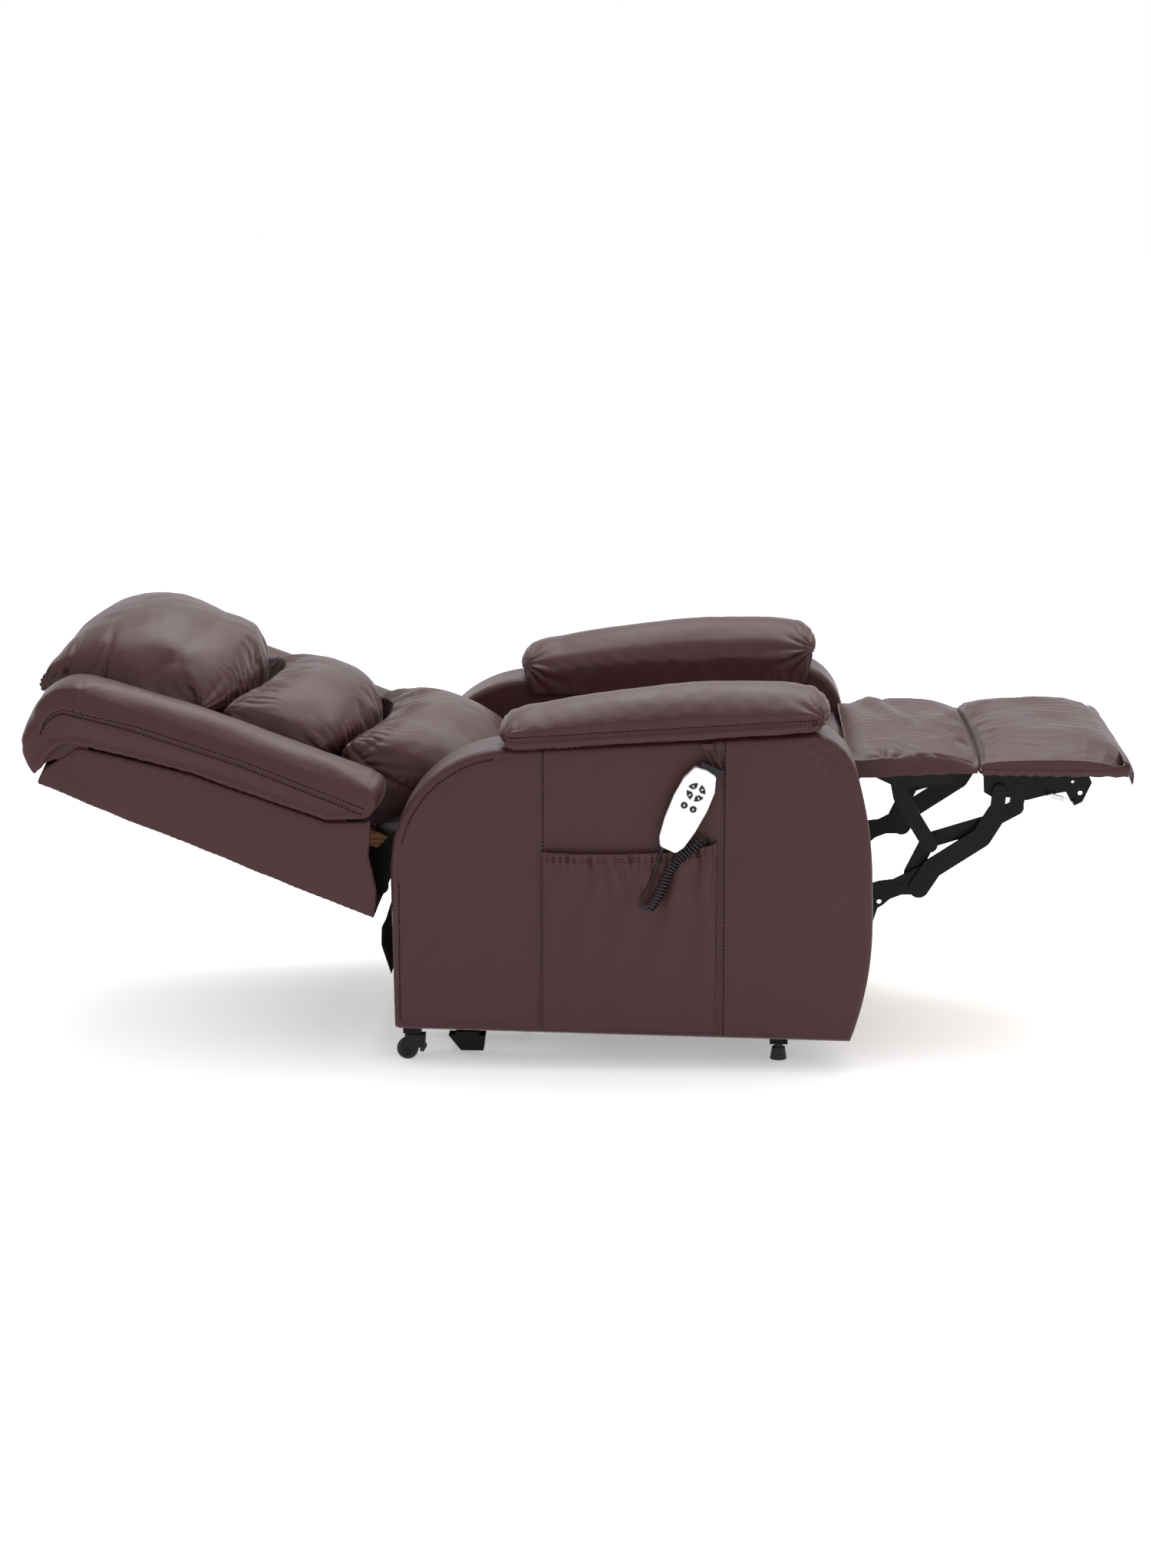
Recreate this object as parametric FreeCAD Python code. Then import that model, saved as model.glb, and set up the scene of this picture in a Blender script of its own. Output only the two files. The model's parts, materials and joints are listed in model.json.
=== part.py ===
import FreeCAD, Part
import math
import os

# Lift recliner chair, drawn in millimetres in its fully reclined pose.
# X runs forward to the footrest, Y to the sitter's left, Z up. The floor is Z = 0,
# Y = 0 is the mid plane, and X = 0 lies midway between the head end and the footrest end.

Vector = FreeCAD.Vector

# Running clearances
pin_play = 0.08          # radial play of a pivot pin in its hole
soft_gap = 0.3           # between upholstery and what it bears on
plate_gap = 2.0          # between neighbouring link plates

# Widths, measured from the mid plane
arm_inner = 262.0
arm_outer = 392.0
pad_inner = 250.0
pad_outer = 420.0
seat_half = 248.5
lumbar_half = 238.0
shoulder_half = 244.0
cushion_half = 256.0
flap_half = 256.0
footrest_half = 260.0

# Side panel outline
panel_rear_x = -305.0
panel_rear_z = 68.5
panel_front_x = 485.0
panel_front_z = 54.0
panel_skin = 14.0
panel_corner = 9.0
board_gap = 0.5
board_thick = 15.0

# Arm pad
pad_rear_x = -128.0
pad_front_x = 413.0

# Seat
seat_rear_x = -80.0
seat_front_x = 458.0
seat_bottom = 400.0
seat_top = 500.0
seat_crown = 12.0

# Backrest: its own frame starts at the hip corner, runs up to the head, and leans
hip_x = -333.0
hip_z = 255.0
lean = 22.0
back_half = 385.0
shell_skin = 8.0
shell_side = 12.0
shell_length = 600.0
back_hinge_x = -240.0
back_hinge_z = 420.0

# Legrest
flap_hinge_x = 479.0
flap_hinge_z = 492.0
seam_x = 664.0
seam_z = 490.0
foot_end_x = 916.0
board_depth = 10.0
board_half = 249.0
flap_rear_x = 494.0
flap_rear_z = 476.5
flap_front_z = 486.5
foot_board_z = 480.5
seam_knuckle = 3.6
seam_pin = 2.0
seam_knuckle_wide = 12.0

# Steel link plates: distance of each plane's inner face from the mid plane
link_thick = 5.0
rail_plane = 215.0
rear_plane = rail_plane + link_thick + plate_gap
mid_plane = rear_plane + link_thick + plate_gap
front_plane = mid_plane + link_thick + plate_gap
outer_plane = 250.0
flap_plane = 256.5
flap_arm_thick = 4.0
hinge_plane = outer_plane - plate_gap - link_thick
link_half = 13.0
rivet_radius = 6.0
rivet_head = 11.0
rivet_proud = 1.5

# Legrest linkage pivots, X and Z
foot_pivot_a = (701.0, 450.0)
foot_pivot_b = (735.0, 452.0)
knee_d = (570.5, 282.0)
knee_e = (559.0, 305.0)
strut_end = (586.0, 361.0)
knee_boss = 1.7
torque_pivot = (438.0, 84.0)
torque_radius = 12.0
torque_hub = 15.0

# Legrest tension spring
spring_start_stud = (780.0, 446.0)
spring_end_stud = (826.0, 432.0)
stud_radius = 2.0
spring_wire_small = 1.3
spring_coil = 4.8
spring_coils = 9
spring_y = -243.5

# Lift linkage
lift_thick = 6.0
lift_gap = 4.0
base_rail_outer = 185.0
rear_arm_plane = base_rail_outer + lift_gap + 1.0
front_arm_plane = rear_arm_plane + lift_thick + lift_gap
lift_half = 14.0
lift_pin = 7.0
rear_arm_foot = (-178.0, 62.0)
rear_arm_head = (190.0, 112.0)
front_arm_foot = (156.8, 62.0)
front_arm_head = (400.0, 140.0)

# Base frame
tube = 30.0
base_rail_z = 30.0
rear_beam_x = -277.0
rear_beam_z = 48.0
rear_beam_deep = 19.0
rear_beam_half = 342.0
front_beam_x = 337.0
front_beam_z = 28.0
front_beam_deep = 22.0
front_beam_half = 314.0
outrigger_half = 316.0
lift_beam_z = 24.0
lift_beam_deep = 18.0
foot_y = 300.0
foot_radius = 14.0

# Castors
castor_x = -274.0
castor_y = 323.0
castor_trail = 12.0
wheel_radius = 18.0
wheel_width = 14.0
fork_gap = 1.5
fork_thick = 2.5
axle_radius = 3.0
stem_radius = 4.0
brake_pivot = (castor_x + 12.0, 30.0)

# Chassis
chassis_tube = 25.0
rear_tube = (-255.0, 140.0)
recline_tube = (205.0, 150.0)
front_tube = (330.0, 150.0)
deck_tube_z = 318.0
deck_tube_rear_x = -60.0
deck_tube_mid_x = 70.0
deck_tube_front_x = 345.0

# Actuators
lift_y = -60.0
lift_motor_pivot = (0.0, 58.0)
lift_rod_pivot = (245.0, 124.0)
recline_y = 60.0
recline_motor_pivot = (175.0, 165.0)
recline_rod_pivot = (-305.0, 262.0)
sleeve_radius = 17.0
rod_radius = 9.0
sleeve_short = 52.0      # the rod's eye stands this far out of the sleeve when drawn in
sleeve_start = 30.0
rod_start = 66.0
eye_radius = 11.0
eye_half = 8.0
lug_thick = 4.0
motor_radius = 28.0
motor_length = 110.0

# Seat deck
deck_half = 205.0
rail_thick = 20.0
spring_wire = 3.6
spring_count = 5
spring_turns = 13
spring_bow = 22.0

# Handset, in a frame that stands on its lower end and leans with it
handset_x = 150.0
handset_z = 385.0
handset_lean = 25.0
handset_length = 146.0
handset_half = 30.0
handset_corner = 7.0
handset_rim = 2.5
handset_back_y = -396.4
handset_seam_y = -407.0
handset_front_y = -417.0
button_ring_z = 106.5
button_ring_outer = 15.0
button_ring_inner = 6.5
button_proud = 1.2
button_deep = 3.0
button_play = 0.3
round_button_radius = 5.4
round_button_x = 8.0
round_button_z = 79.0
relief_x = -8.0
relief_y = -406.0
relief_radius = 4.0
relief_length = 8.0
hook_low_x = -12.0
hook_thick = 9.0
hook_pivot = (23.3, 149.5)
hook_pin_radius = 3.4

# Strap that the handset hangs in
strap_top = (213.0, 552.0)
strap_thick = 2.6
strap_low_y = -402.8
strap_high_y = -395.4

# Handset cord
cord_wire = 3.4
curl_radius = 6.4
curl_count = 28
curl_start = 0.36
curl_end = 0.79
cord_y = -413.5
pocket_wire_y = -397.2

# Crown of a cushion: share of its width, and how far the section there is drawn in
crown_stations = ((0.0, 1.0), (0.08, 0.6), (0.24, 0.2), (0.5, 0.0), (0.76, 0.2), (0.92, 0.6), (1.0, 1.0))

# Side pocket
pocket_rear_x = -58.0
pocket_front_x = 232.0
pocket_bottom_z = 70.0
pocket_hem_rear_z = 376.0
pocket_hem_front_z = 394.0
pocket_hem_low = (165.0, 377.5)
pocket_sheet = 2.5
pocket_depth = 9.5
pocket_seam = 8.0
grommet = (211.0, 344.0)
grommet_half = 3.4

# Lining
lining_half = 372.0


def point(place, y=0.0):
    """A point from its X and Z."""
    return Vector(place[0], y, place[1])


def outline(steps, y=0.0):
    """Closed outline at one Y. A step is a point, or a pair: an arc's middle and its end."""
    edges = []
    here = steps[0]
    for step in steps[1:]:
        if isinstance(step[0], tuple):
            middle, end = step
            edges.append(Part.Arc(point(here, y), point(middle, y), point(end, y)).toShape())
        else:
            end = step
            edges.append(Part.LineSegment(point(here, y), point(end, y)).toShape())
        here = end
    if here != steps[0]:
        edges.append(Part.LineSegment(point(here, y), point(steps[0], y)).toShape())
    return Part.Wire(edges)


def slab(steps, y_low, y_high):
    """An outline given thickness along Y."""
    return Part.Face(outline(steps, y_low)).extrude(Vector(0, y_high - y_low, 0))


def box(x_low, x_high, y_low, y_high, z_low, z_high):
    size = (x_high - x_low, y_high - y_low, z_high - z_low)
    return Part.makeBox(*size, Vector(x_low, y_low, z_low))


def rod(place, y_low, y_high, radius):
    """Round bar along Y."""
    return Part.makeCylinder(radius, y_high - y_low, point(place, y_low), Vector(0, 1, 0))


def square_tube(place, half_span, side):
    """Square cross tube along Y with a 2 mm wall."""
    x, z = place
    half = side / 2
    wall = 2.0
    outer = box(x - half, x + half, -half_span, half_span, z - half, z + half)
    inner = box(x - half + wall, x + half - wall, -half_span, half_span, z - half + wall, z + half - wall)
    return outer.cut(inner)


def strip(places, half, y_low, y_high):
    """Flat bar with round ends through a row of places."""
    pieces = []
    for start, end in zip(places, places[1:]):
        run = point(end) - point(start)
        side = Vector(run.z, 0, -run.x).normalize() * half
        corners = [point(start) + side, point(end) + side, point(end) - side, point(start) - side]
        pieces.append(slab([(c.x, c.z) for c in corners], y_low, y_high))
    for place in places:
        pieces.append(rod(place, y_low, y_high, half))
    return pieces[0].multiFuse(pieces[1:]).removeSplitter()


def fuse(pieces):
    return pieces[0].multiFuse(pieces[1:]).removeSplitter()


def mirrored(shape):
    return shape.mirror(Vector(0, 0, 0), Vector(0, 1, 0))


def pair(shape):
    """The piece and its mirror image on the other side."""
    return Part.makeCompound([shape, mirrored(shape)])


def flat_places(steps):
    return [p for step in steps for p in (step if isinstance(step[0], tuple) else (step,))]


def drawn(steps, inset):
    """The outline drawn in towards its middle by an inset."""
    xs = [p[0] for p in flat_places(steps)]
    zs = [p[1] for p in flat_places(steps)]
    middle = ((min(xs) + max(xs)) / 2, (min(zs) + max(zs)) / 2)
    scale_x = 1 - 2 * inset / (max(xs) - min(xs))
    scale_z = 1 - 2 * inset / (max(zs) - min(zs))

    def shrink(p):
        return (middle[0] + (p[0] - middle[0]) * scale_x, middle[1] + (p[1] - middle[1]) * scale_z)

    return changed(steps, shrink)


def changed(steps, change):
    """The outline with each of its places changed by a function."""
    return [tuple(change(p) for p in s) if isinstance(s[0], tuple) else change(s) for s in steps]


def padded(steps, y_low, y_high, inset, drop=0.0, shift=0.0, base=0.0):
    """Cushion: full in the middle of its width, drawn in and shifted towards its sides, where it
    is also lower above its base."""
    width = y_high - y_low
    wires = []
    for share, pull in crown_stations:

        def settle(place):
            above = max(0.0, place[1] - base)
            return (place[0] + shift * pull, place[1] - above * drop * pull)

        wires.append(outline(changed(drawn(steps, inset * pull), settle), y_low + width * share))
    return Part.makeLoft(wires, True, False)


def leaned(shape):
    """From the backrest's own frame, hip to head along minus X, to the chair's frame."""
    turned = shape.copy()
    turned.rotate(Vector(0, 0, 0), Vector(0, 1, 0), lean)
    turned.translate(Vector(hip_x, 0, hip_z))
    return turned


def back_place(place):
    """A place in the chair's frame, given in the backrest's frame as (up, forward)."""
    angle = math.radians(lean)
    run = Vector(place[0] - hip_x, 0, place[1] - hip_z)
    up = -run.x * math.cos(angle) + run.z * math.sin(angle)
    out = run.x * math.sin(angle) + run.z * math.cos(angle)
    return (-up, out)


def held(shape):
    """From the handset's own frame to the chair's frame."""
    turned = shape.copy()
    turned.rotate(Vector(0, 0, 0), Vector(0, 1, 0), handset_lean)
    turned.translate(Vector(handset_x, 0, handset_z))
    return turned


def held_place(place):
    angle = math.radians(handset_lean)
    x = handset_x + place[0] * math.cos(angle) + place[1] * math.sin(angle)
    z = handset_z - place[0] * math.sin(angle) + place[1] * math.cos(angle)
    return (x, z)


def biarc(start, start_way, end, end_way):
    """Two arcs that leave start and reach end along the given unit directions."""
    chord = end - start
    ways = start_way + end_way
    spread = 2 * (1 - start_way.dot(end_way))
    along = chord.dot(ways)
    if spread < 1e-9:
        reach = chord.dot(chord) / (2 * along)
    else:
        reach = (-along + math.sqrt(along * along + spread * chord.dot(chord))) / spread
    first_corner = start + start_way * reach
    second_corner = end - end_way * reach
    joint = (first_corner + second_corner) * 0.5
    return [corner_arc(start, first_corner, joint), corner_arc(joint, second_corner, end)]


def corner_arc(start, corner, end):
    """Arc that is tangent to the two equal legs start-corner and corner-end."""
    middle = (start + end) * 0.5
    half = (end - start).Length / 2
    height = (corner - middle).Length
    if height < 1e-4 * half:
        return Part.LineSegment(start, end).toShape()
    swing = math.atan2(height, half)
    rise = half * math.tan(swing / 2)
    return Part.Arc(start, middle + (corner - middle) * (rise / height), end).toShape()


def tube_along(places, ways, radius):
    """Round solid along biarcs through places, in the direction given at each."""
    edges = []
    for i in range(len(places) - 1):
        edges += biarc(places[i], ways[i], places[i + 1], ways[i + 1])
    path = Part.Wire(edges)
    ring = Part.Wire([Part.Circle(places[0], ways[0], radius).toShape()])
    return path.makePipeShell([ring], True, False)


def save(name, shape):
    shape.exportStep("parts/" + name + ".step")
    size = shape.BoundBox
    print(f"{name:24s} solids {len(shape.Solids):2d} valid {shape.isValid()} "
          f"x {size.XMin:7.1f} {size.XMax:7.1f} y {size.YMin:7.1f} {size.YMax:7.1f} "
          f"z {size.ZMin:7.1f} {size.ZMax:7.1f}")


# Side panels, arm frames and arm pads

panel_steps = [
    (panel_rear_x + 12.0, panel_rear_z),
    ((panel_rear_x + 3.5, panel_rear_z + 3.5), (panel_rear_x, panel_rear_z + 12.0)),
    (panel_rear_x - 1.0, 330.0),
    ((-280.0, 444.0), (-223.0, 508.0)),
    ((-180.0, 531.0), (-131.0, 544.0)),
    (385.0, 575.0),
    ((432.0, 549.0), (460.0, 497.0)),
    ((480.0, 400.0), (panel_front_x, 298.0)),
    ((481.0, 165.0), (453.0, panel_front_z)),
]


def side_panel():
    """Upholstered arm cover: outer and inner faces joined round the edge, open below."""
    cover = slab(panel_steps, -arm_outer, -arm_inner)
    cavity_steps = drawn(panel_steps, panel_skin)
    cavity = slab(cavity_steps, -arm_outer + panel_skin, -arm_inner - panel_skin)
    mouth = box(panel_rear_x + panel_skin + 20, 440.0, -arm_outer + panel_skin, -arm_inner - panel_skin,
                panel_front_z - 10, 120.0)
    cover = cover.cut(cavity).cut(mouth)
    rim = [e for e in cover.Edges if abs(e.CenterOfMass.y + arm_outer) < 0.1 and e.CenterOfMass.z > 90]
    return cover.makeFillet(panel_corner, rim)


def arm_frame():
    """Two boards with spacer rails between them, inside the arm cover."""
    board_steps = drawn(panel_steps, panel_skin + board_gap)
    outer_y = arm_outer - panel_skin - board_gap
    inner_y = arm_inner + panel_skin + board_gap
    outer = slab(board_steps, -outer_y, -outer_y + board_thick)
    inner = slab(board_steps, -inner_y - board_thick, -inner_y)
    floor_cut = box(-400, 600, -outer_y - 1, -inner_y + 1, 0, 128.0)
    rails = []
    for x, z in ((-220.0, 200.0), (60.0, 200.0), (340.0, 200.0), (-60.0, 500.0), (300.0, 500.0)):
        rails.append(box(x, x + 60, -outer_y + board_thick, -inner_y - board_thick, z, z + 25))
    return fuse([outer.cut(floor_cut), inner.cut(floor_cut)] + rails)


pad_steps = [
    (pad_rear_x + 16.0, 546.8),
    (pad_front_x - 22.0, 577.5),
    ((pad_front_x, 610.0), (pad_front_x - 42.0, 640.0)),
    ((170.0, 634.0), (-55.0, 598.0)),
    (pad_rear_x + 22.0, 590.0),
    ((pad_rear_x, 568.0), (pad_rear_x + 16.0, 546.8)),
]


def arm_pad():
    return padded(pad_steps, -pad_outer, -pad_inner, 14.0)


# Seat

def seat_cushion():
    steps = [
        (seat_rear_x + 8, seat_bottom),
        (seat_front_x - 8, seat_bottom),
        ((seat_front_x, (seat_bottom + seat_top) / 2), (seat_front_x - 10, seat_top - 4)),
        (((seat_front_x + seat_rear_x) / 2, seat_top + seat_crown), (seat_rear_x + 12, seat_top - 8)),
        ((seat_rear_x, (seat_bottom + seat_top) / 2), (seat_rear_x + 8, seat_bottom)),
    ]
    return padded(steps, -seat_half, seat_half, 6.0)


def deck_bottom():
    return deck_tube_z + chassis_tube / 2 + soft_gap


def seat_deck():
    """Plywood frame that the seat springs hang in."""
    low = deck_bottom()
    high = seat_bottom - soft_gap
    rear_x = seat_rear_x
    front_x = seat_front_x - 4
    inner = deck_half - rail_thick
    side = box(rear_x, front_x, -deck_half, -inner, low, high)
    rear = box(rear_x, rear_x + rail_thick, -inner, inner, low, high)
    front = box(front_x - rail_thick, front_x, -inner, inner, low, high)
    return fuse([side, mirrored(side), rear, front])


def seat_springs():
    """Sinuous springs from the rear rail to the front rail, each a row of half turns."""
    z = seat_bottom - 14.0
    rear_x = seat_rear_x + rail_thick
    front_x = seat_front_x - 4 - rail_thick
    pitch = (front_x - rear_x) / (spring_turns + 1)
    spacing = 2 * (deck_half - rail_thick) / (spring_count + 1)
    springs = []
    for k in range(spring_count):
        y = (k - (spring_count - 1) / 2) * spacing
        places = [Vector(rear_x, y, z)]
        ways = [Vector(1, 0, 0)]
        for turn in range(spring_turns):
            side = 1 if turn % 2 == 0 else -1
            x = rear_x + pitch * (turn + 1)
            places.append(Vector(x - pitch / 2, y, z))
            ways.append(Vector(0, side, 0))
            places.append(Vector(x, y + side * spring_bow / 2, z))
            ways.append(Vector(1, 0, 0))
        places.append(Vector(front_x, y, z))
        ways.append(Vector(1, 0, 0))
        springs.append(tube_along(places, ways, spring_wire / 2))
    return Part.makeCompound(springs)


# Chassis

def plate_span(plane, thick):
    """Low and high Y of a plate on the near side, from its plane."""
    return -plane - thick, -plane


def chassis_frame():
    """Side plates, lower rails and cross tubes that carry seat, arms, back and legrest."""
    low, high = plate_span(rail_plane, link_thick)
    bars = [
        strip([rear_tube, rear_arm_head, front_arm_head], 20.0, low, high),
        strip([front_arm_head, torque_pivot], torque_hub, low, high),
        strip([(deck_tube_mid_x, 120.0), (deck_tube_mid_x, deck_tube_z)], 16.0, low, high),
        strip([(deck_tube_front_x, 140.0), (deck_tube_front_x, deck_tube_z)], link_half, low, high),
    ]
    inner_plate = fuse(bars).cut(rod(torque_pivot, low - 1, high + 1, torque_radius + pin_play))
    low, high = plate_span(outer_plane, link_thick)
    hinge = (back_hinge_x, back_hinge_z)
    flap_hinge = (flap_hinge_x, flap_hinge_z)
    front_top = (450.0, 468.0)
    outer_plate = fuse([
        strip([rear_tube, (-250.0, deck_tube_z), (440.0, deck_tube_z)], 15.0, low, high),
        strip([(-250.0, deck_tube_z), hinge], 15.0, low, high),
        strip([(440.0, deck_tube_z), (440.0, 450.0)], 13.0, low, high),
        strip([(440.0, 450.0), front_top], 10.0, low, high),
        strip([front_top, flap_hinge], 8.0, low, high),
    ])
    arm_blocks = [box(x, x + 50, -arm_inner, low, deck_tube_z - 14, deck_tube_z + 14)
                  for x in (-170.0, 300.0)]
    pins = [
        rod(hinge, high, -hinge_plane, rivet_radius),
        rod(hinge, -hinge_plane, -hinge_plane + rivet_proud, rivet_head),
        rod(flap_hinge, -flap_plane - flap_arm_thick - 0.2, low, rivet_radius),
        rod(rear_arm_head, -rail_plane, -rear_arm_plane, lift_pin),
        rod(rear_arm_head, -rear_arm_plane, -rear_arm_plane + rivet_proud, rivet_head),
    ]
    side = fuse([inner_plate, outer_plate] + arm_blocks + pins)
    outer_span = outer_plane + link_thick
    inner_span = rail_plane + link_thick
    tubes = [
        square_tube(rear_tube, outer_span, chassis_tube),
        square_tube(recline_tube, inner_span, chassis_tube),
        square_tube(front_tube, inner_span, chassis_tube),
        square_tube((deck_tube_rear_x, deck_tube_z), outer_span, chassis_tube),
        square_tube((deck_tube_mid_x, deck_tube_z), outer_span, chassis_tube),
        square_tube((deck_tube_front_x, deck_tube_z), inner_span, chassis_tube),
    ]
    lugs = actuator_lugs(recline_tube, lift_rod_pivot, lift_y, eye_radius)
    lugs += actuator_lugs(recline_tube, recline_motor_pivot, recline_y, eye_radius)
    motor_pin = rod(recline_motor_pivot, recline_y - eye_half - 6, recline_y + eye_half + 6, rivet_radius)
    return fuse([side, mirrored(side)] + tubes + lugs + [motor_pin])


def actuator_lugs(root, tip, y, half):
    """Two cheek plates from a cross tube to an actuator's eye."""
    lugs = []
    for side in (-1, 1):
        inner = y + side * (eye_half + plate_gap)
        low, high = sorted((inner, inner + side * lug_thick))
        lugs.append(strip([root, tip], half, low, high))
    return lugs


def torque_tube():
    """Cross tube that ties the two lower links together and turns in the side plates."""
    return rod(torque_pivot, -mid_plane, mid_plane, torque_radius)


def control_box():
    high = deck_tube_z - chassis_tube / 2
    case = box(deck_tube_mid_x - 50, deck_tube_mid_x + 70, -140.0, -20.0, high - 36, high)
    edges = [e for e in case.Edges if abs(e.Vertexes[0].Z - e.Vertexes[1].Z) > 1]
    return case.makeFillet(6.0, edges)


# Lift linkage and base

def lift_arm(foot, head, plane):
    low, high = plate_span(plane, lift_thick)
    bar = strip([foot, head], lift_half, low, high)
    holes = [rod(p, low - 1, high + 1, lift_pin + pin_play) for p in (foot, head)]
    return bar.cut(holes[0]).cut(holes[1])


def rear_lift_arms():
    arm = lift_arm(rear_arm_foot, rear_arm_head, rear_arm_plane)
    run = point(rear_arm_head) - point(rear_arm_foot)
    tie = point(rear_arm_foot) + run * 0.22
    cross = rod((tie.x, tie.z), -rear_arm_plane, rear_arm_plane, 8.0)
    return fuse([arm, mirrored(arm), cross])


def front_lift_arms():
    low, high = plate_span(front_arm_plane, lift_thick)
    bar = strip([front_arm_foot, front_arm_head], lift_half, low, high)
    return pair(bar.cut(rod(front_arm_foot, low - 1, high + 1, lift_pin + pin_play)))


def base_frame():
    """Floor frame: two long rails, a rear beam on the castors and a front beam on the feet."""
    rail_low = base_rail_outer - 20.0
    rail = box(rear_beam_x, front_beam_x, -base_rail_outer, -rail_low, base_rail_z, base_rail_z + tube)
    rear = box(rear_beam_x - tube / 2, rear_beam_x + tube / 2, -rear_beam_half, rear_beam_half,
               rear_beam_z, rear_beam_z + rear_beam_deep)
    for y in (-castor_y, castor_y):
        rear = rear.cut(Part.makeCylinder(stem_radius + pin_play, 10.0, Vector(castor_x, y, rear_beam_z - 1)))
    front = box(front_beam_x - tube / 2, front_beam_x + tube / 2, -front_beam_half, front_beam_half,
                front_beam_z, front_beam_z + front_beam_deep)
    ears = []
    for place, plane in ((rear_arm_foot, rear_arm_plane), (front_arm_foot, front_arm_plane)):
        ear = strip([(place[0], base_rail_z + 12), place], 16.0, -base_rail_outer - 3, -base_rail_outer)
        pin = rod(place, -plane - lift_thick, -base_rail_outer, lift_pin)
        cap = rod(place, -plane - lift_thick - rivet_proud, -plane - lift_thick, rivet_head)
        ears += [ear, pin, cap]
    shoe = slab([(-218.0, 38.0), (-197.0, 12.0), (-159.0, 12.0), (-156.0, 38.0)],
                -outrigger_half, -outrigger_half + 30)
    arm = box(-206.0, -166.0, -outrigger_half, -rail_low, 34.0, 44.0)
    sides = [rail] + ears + [shoe, arm]
    x = lift_motor_pivot[0]
    middle = box(x - tube / 2, x + tube / 2, -rail_low, rail_low, lift_beam_z, lift_beam_z + lift_beam_deep)
    lugs = actuator_lugs((x, lift_beam_z + lift_beam_deep / 2), lift_motor_pivot, lift_y, 9.0)
    motor_pin = rod(lift_motor_pivot, lift_y - eye_half - 6, lift_y + eye_half + 6, rivet_radius)
    return fuse([rear, front, middle] + sides + [mirrored(s) for s in sides] + lugs + [motor_pin])


def front_feet():
    foot = Part.makeCone(foot_radius, foot_radius - 3, 20.0, Vector(front_beam_x, -foot_y, 0))
    neck = Part.makeCylinder(7.0, front_beam_z - 20.0, Vector(front_beam_x, -foot_y, 20.0))
    return pair(fuse([foot, neck]))


def power_supply():
    """Mains transformer case on the rear beam, with its inlet recess at the back."""
    low = rear_beam_z + rear_beam_deep
    case = box(rear_beam_x - 12, rear_beam_x + 138, 50.0, 130.0, low, low + 44)
    edges = [e for e in case.Edges if abs(e.Vertexes[0].Z - e.Vertexes[1].Z) > 1]
    case = case.makeFillet(5.0, edges)
    inlet = box(rear_beam_x - 13, rear_beam_x, 76.0, 104.0, low + 12, low + 32)
    pins = [Part.makeCylinder(2.0, 11.0, Vector(rear_beam_x - 10, y, low + 22), Vector(1, 0, 0))
            for y in (85.0, 95.0)]
    return fuse([case.cut(inlet)] + pins)


# Castors

def castor_fork():
    """Two cheeks, a crown and the swivel stem; carries the wheel's axle."""
    wheel_x = castor_x - castor_trail
    inner = wheel_width / 2 + fork_gap
    crown_z = rear_beam_z - 5.0
    cheek_steps = [
        (wheel_x - 9, wheel_radius - 2),
        ((wheel_x, wheel_radius - 11), (wheel_x + 9, wheel_radius - 2)),
        (brake_pivot[0] + 5, brake_pivot[1] - 5),
        (castor_x + 18, crown_z),
        (castor_x - 16, crown_z),
    ]
    cheeks = [slab(cheek_steps, castor_y + inner, castor_y + inner + fork_thick),
              slab(cheek_steps, castor_y - inner - fork_thick, castor_y - inner)]
    crown = box(castor_x - 16, castor_x + 16, castor_y - inner - fork_thick, castor_y + inner + fork_thick,
                crown_z - 3, crown_z)
    stem_foot = Vector(castor_x, castor_y, crown_z)
    stem = Part.makeCylinder(stem_radius + 4, rear_beam_z - crown_z - 0.3, stem_foot)
    spigot = Part.makeCylinder(stem_radius, 12.0, stem_foot)
    axle = rod((wheel_x, wheel_radius), castor_y - inner - fork_thick - 1, castor_y + inner + fork_thick + 1,
               axle_radius)
    return fuse(cheeks + [crown, stem, spigot, axle])


def castor_wheel():
    wheel_x = castor_x - castor_trail
    half = wheel_width / 2
    tyre = rod((wheel_x, wheel_radius), castor_y - half, castor_y + half, wheel_radius)
    rim = [e for e in tyre.Edges if isinstance(e.Curve, Part.Circle)]
    tyre = tyre.makeFillet(3.0, rim)
    hole = rod((wheel_x, wheel_radius), castor_y - half - 1, castor_y + half + 1, axle_radius + pin_play)
    return tyre.cut(hole)


def castor_brake():
    """Pedal on a cross pin between the fork cheeks."""
    x, z = brake_pivot
    inner = wheel_width / 2 + fork_gap - 0.3
    hub = rod(brake_pivot, castor_y - inner, castor_y + inner, 3.4)
    pedal = slab([(x - 3.2, z - 1), (x - 3.0, z - 15), (x + 2.5, z - 17), (x + 8, z - 8.5), (x + 3.2, z - 1)],
                 castor_y - inner, castor_y + inner)
    return fuse([hub, pedal])


# Actuators

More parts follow.
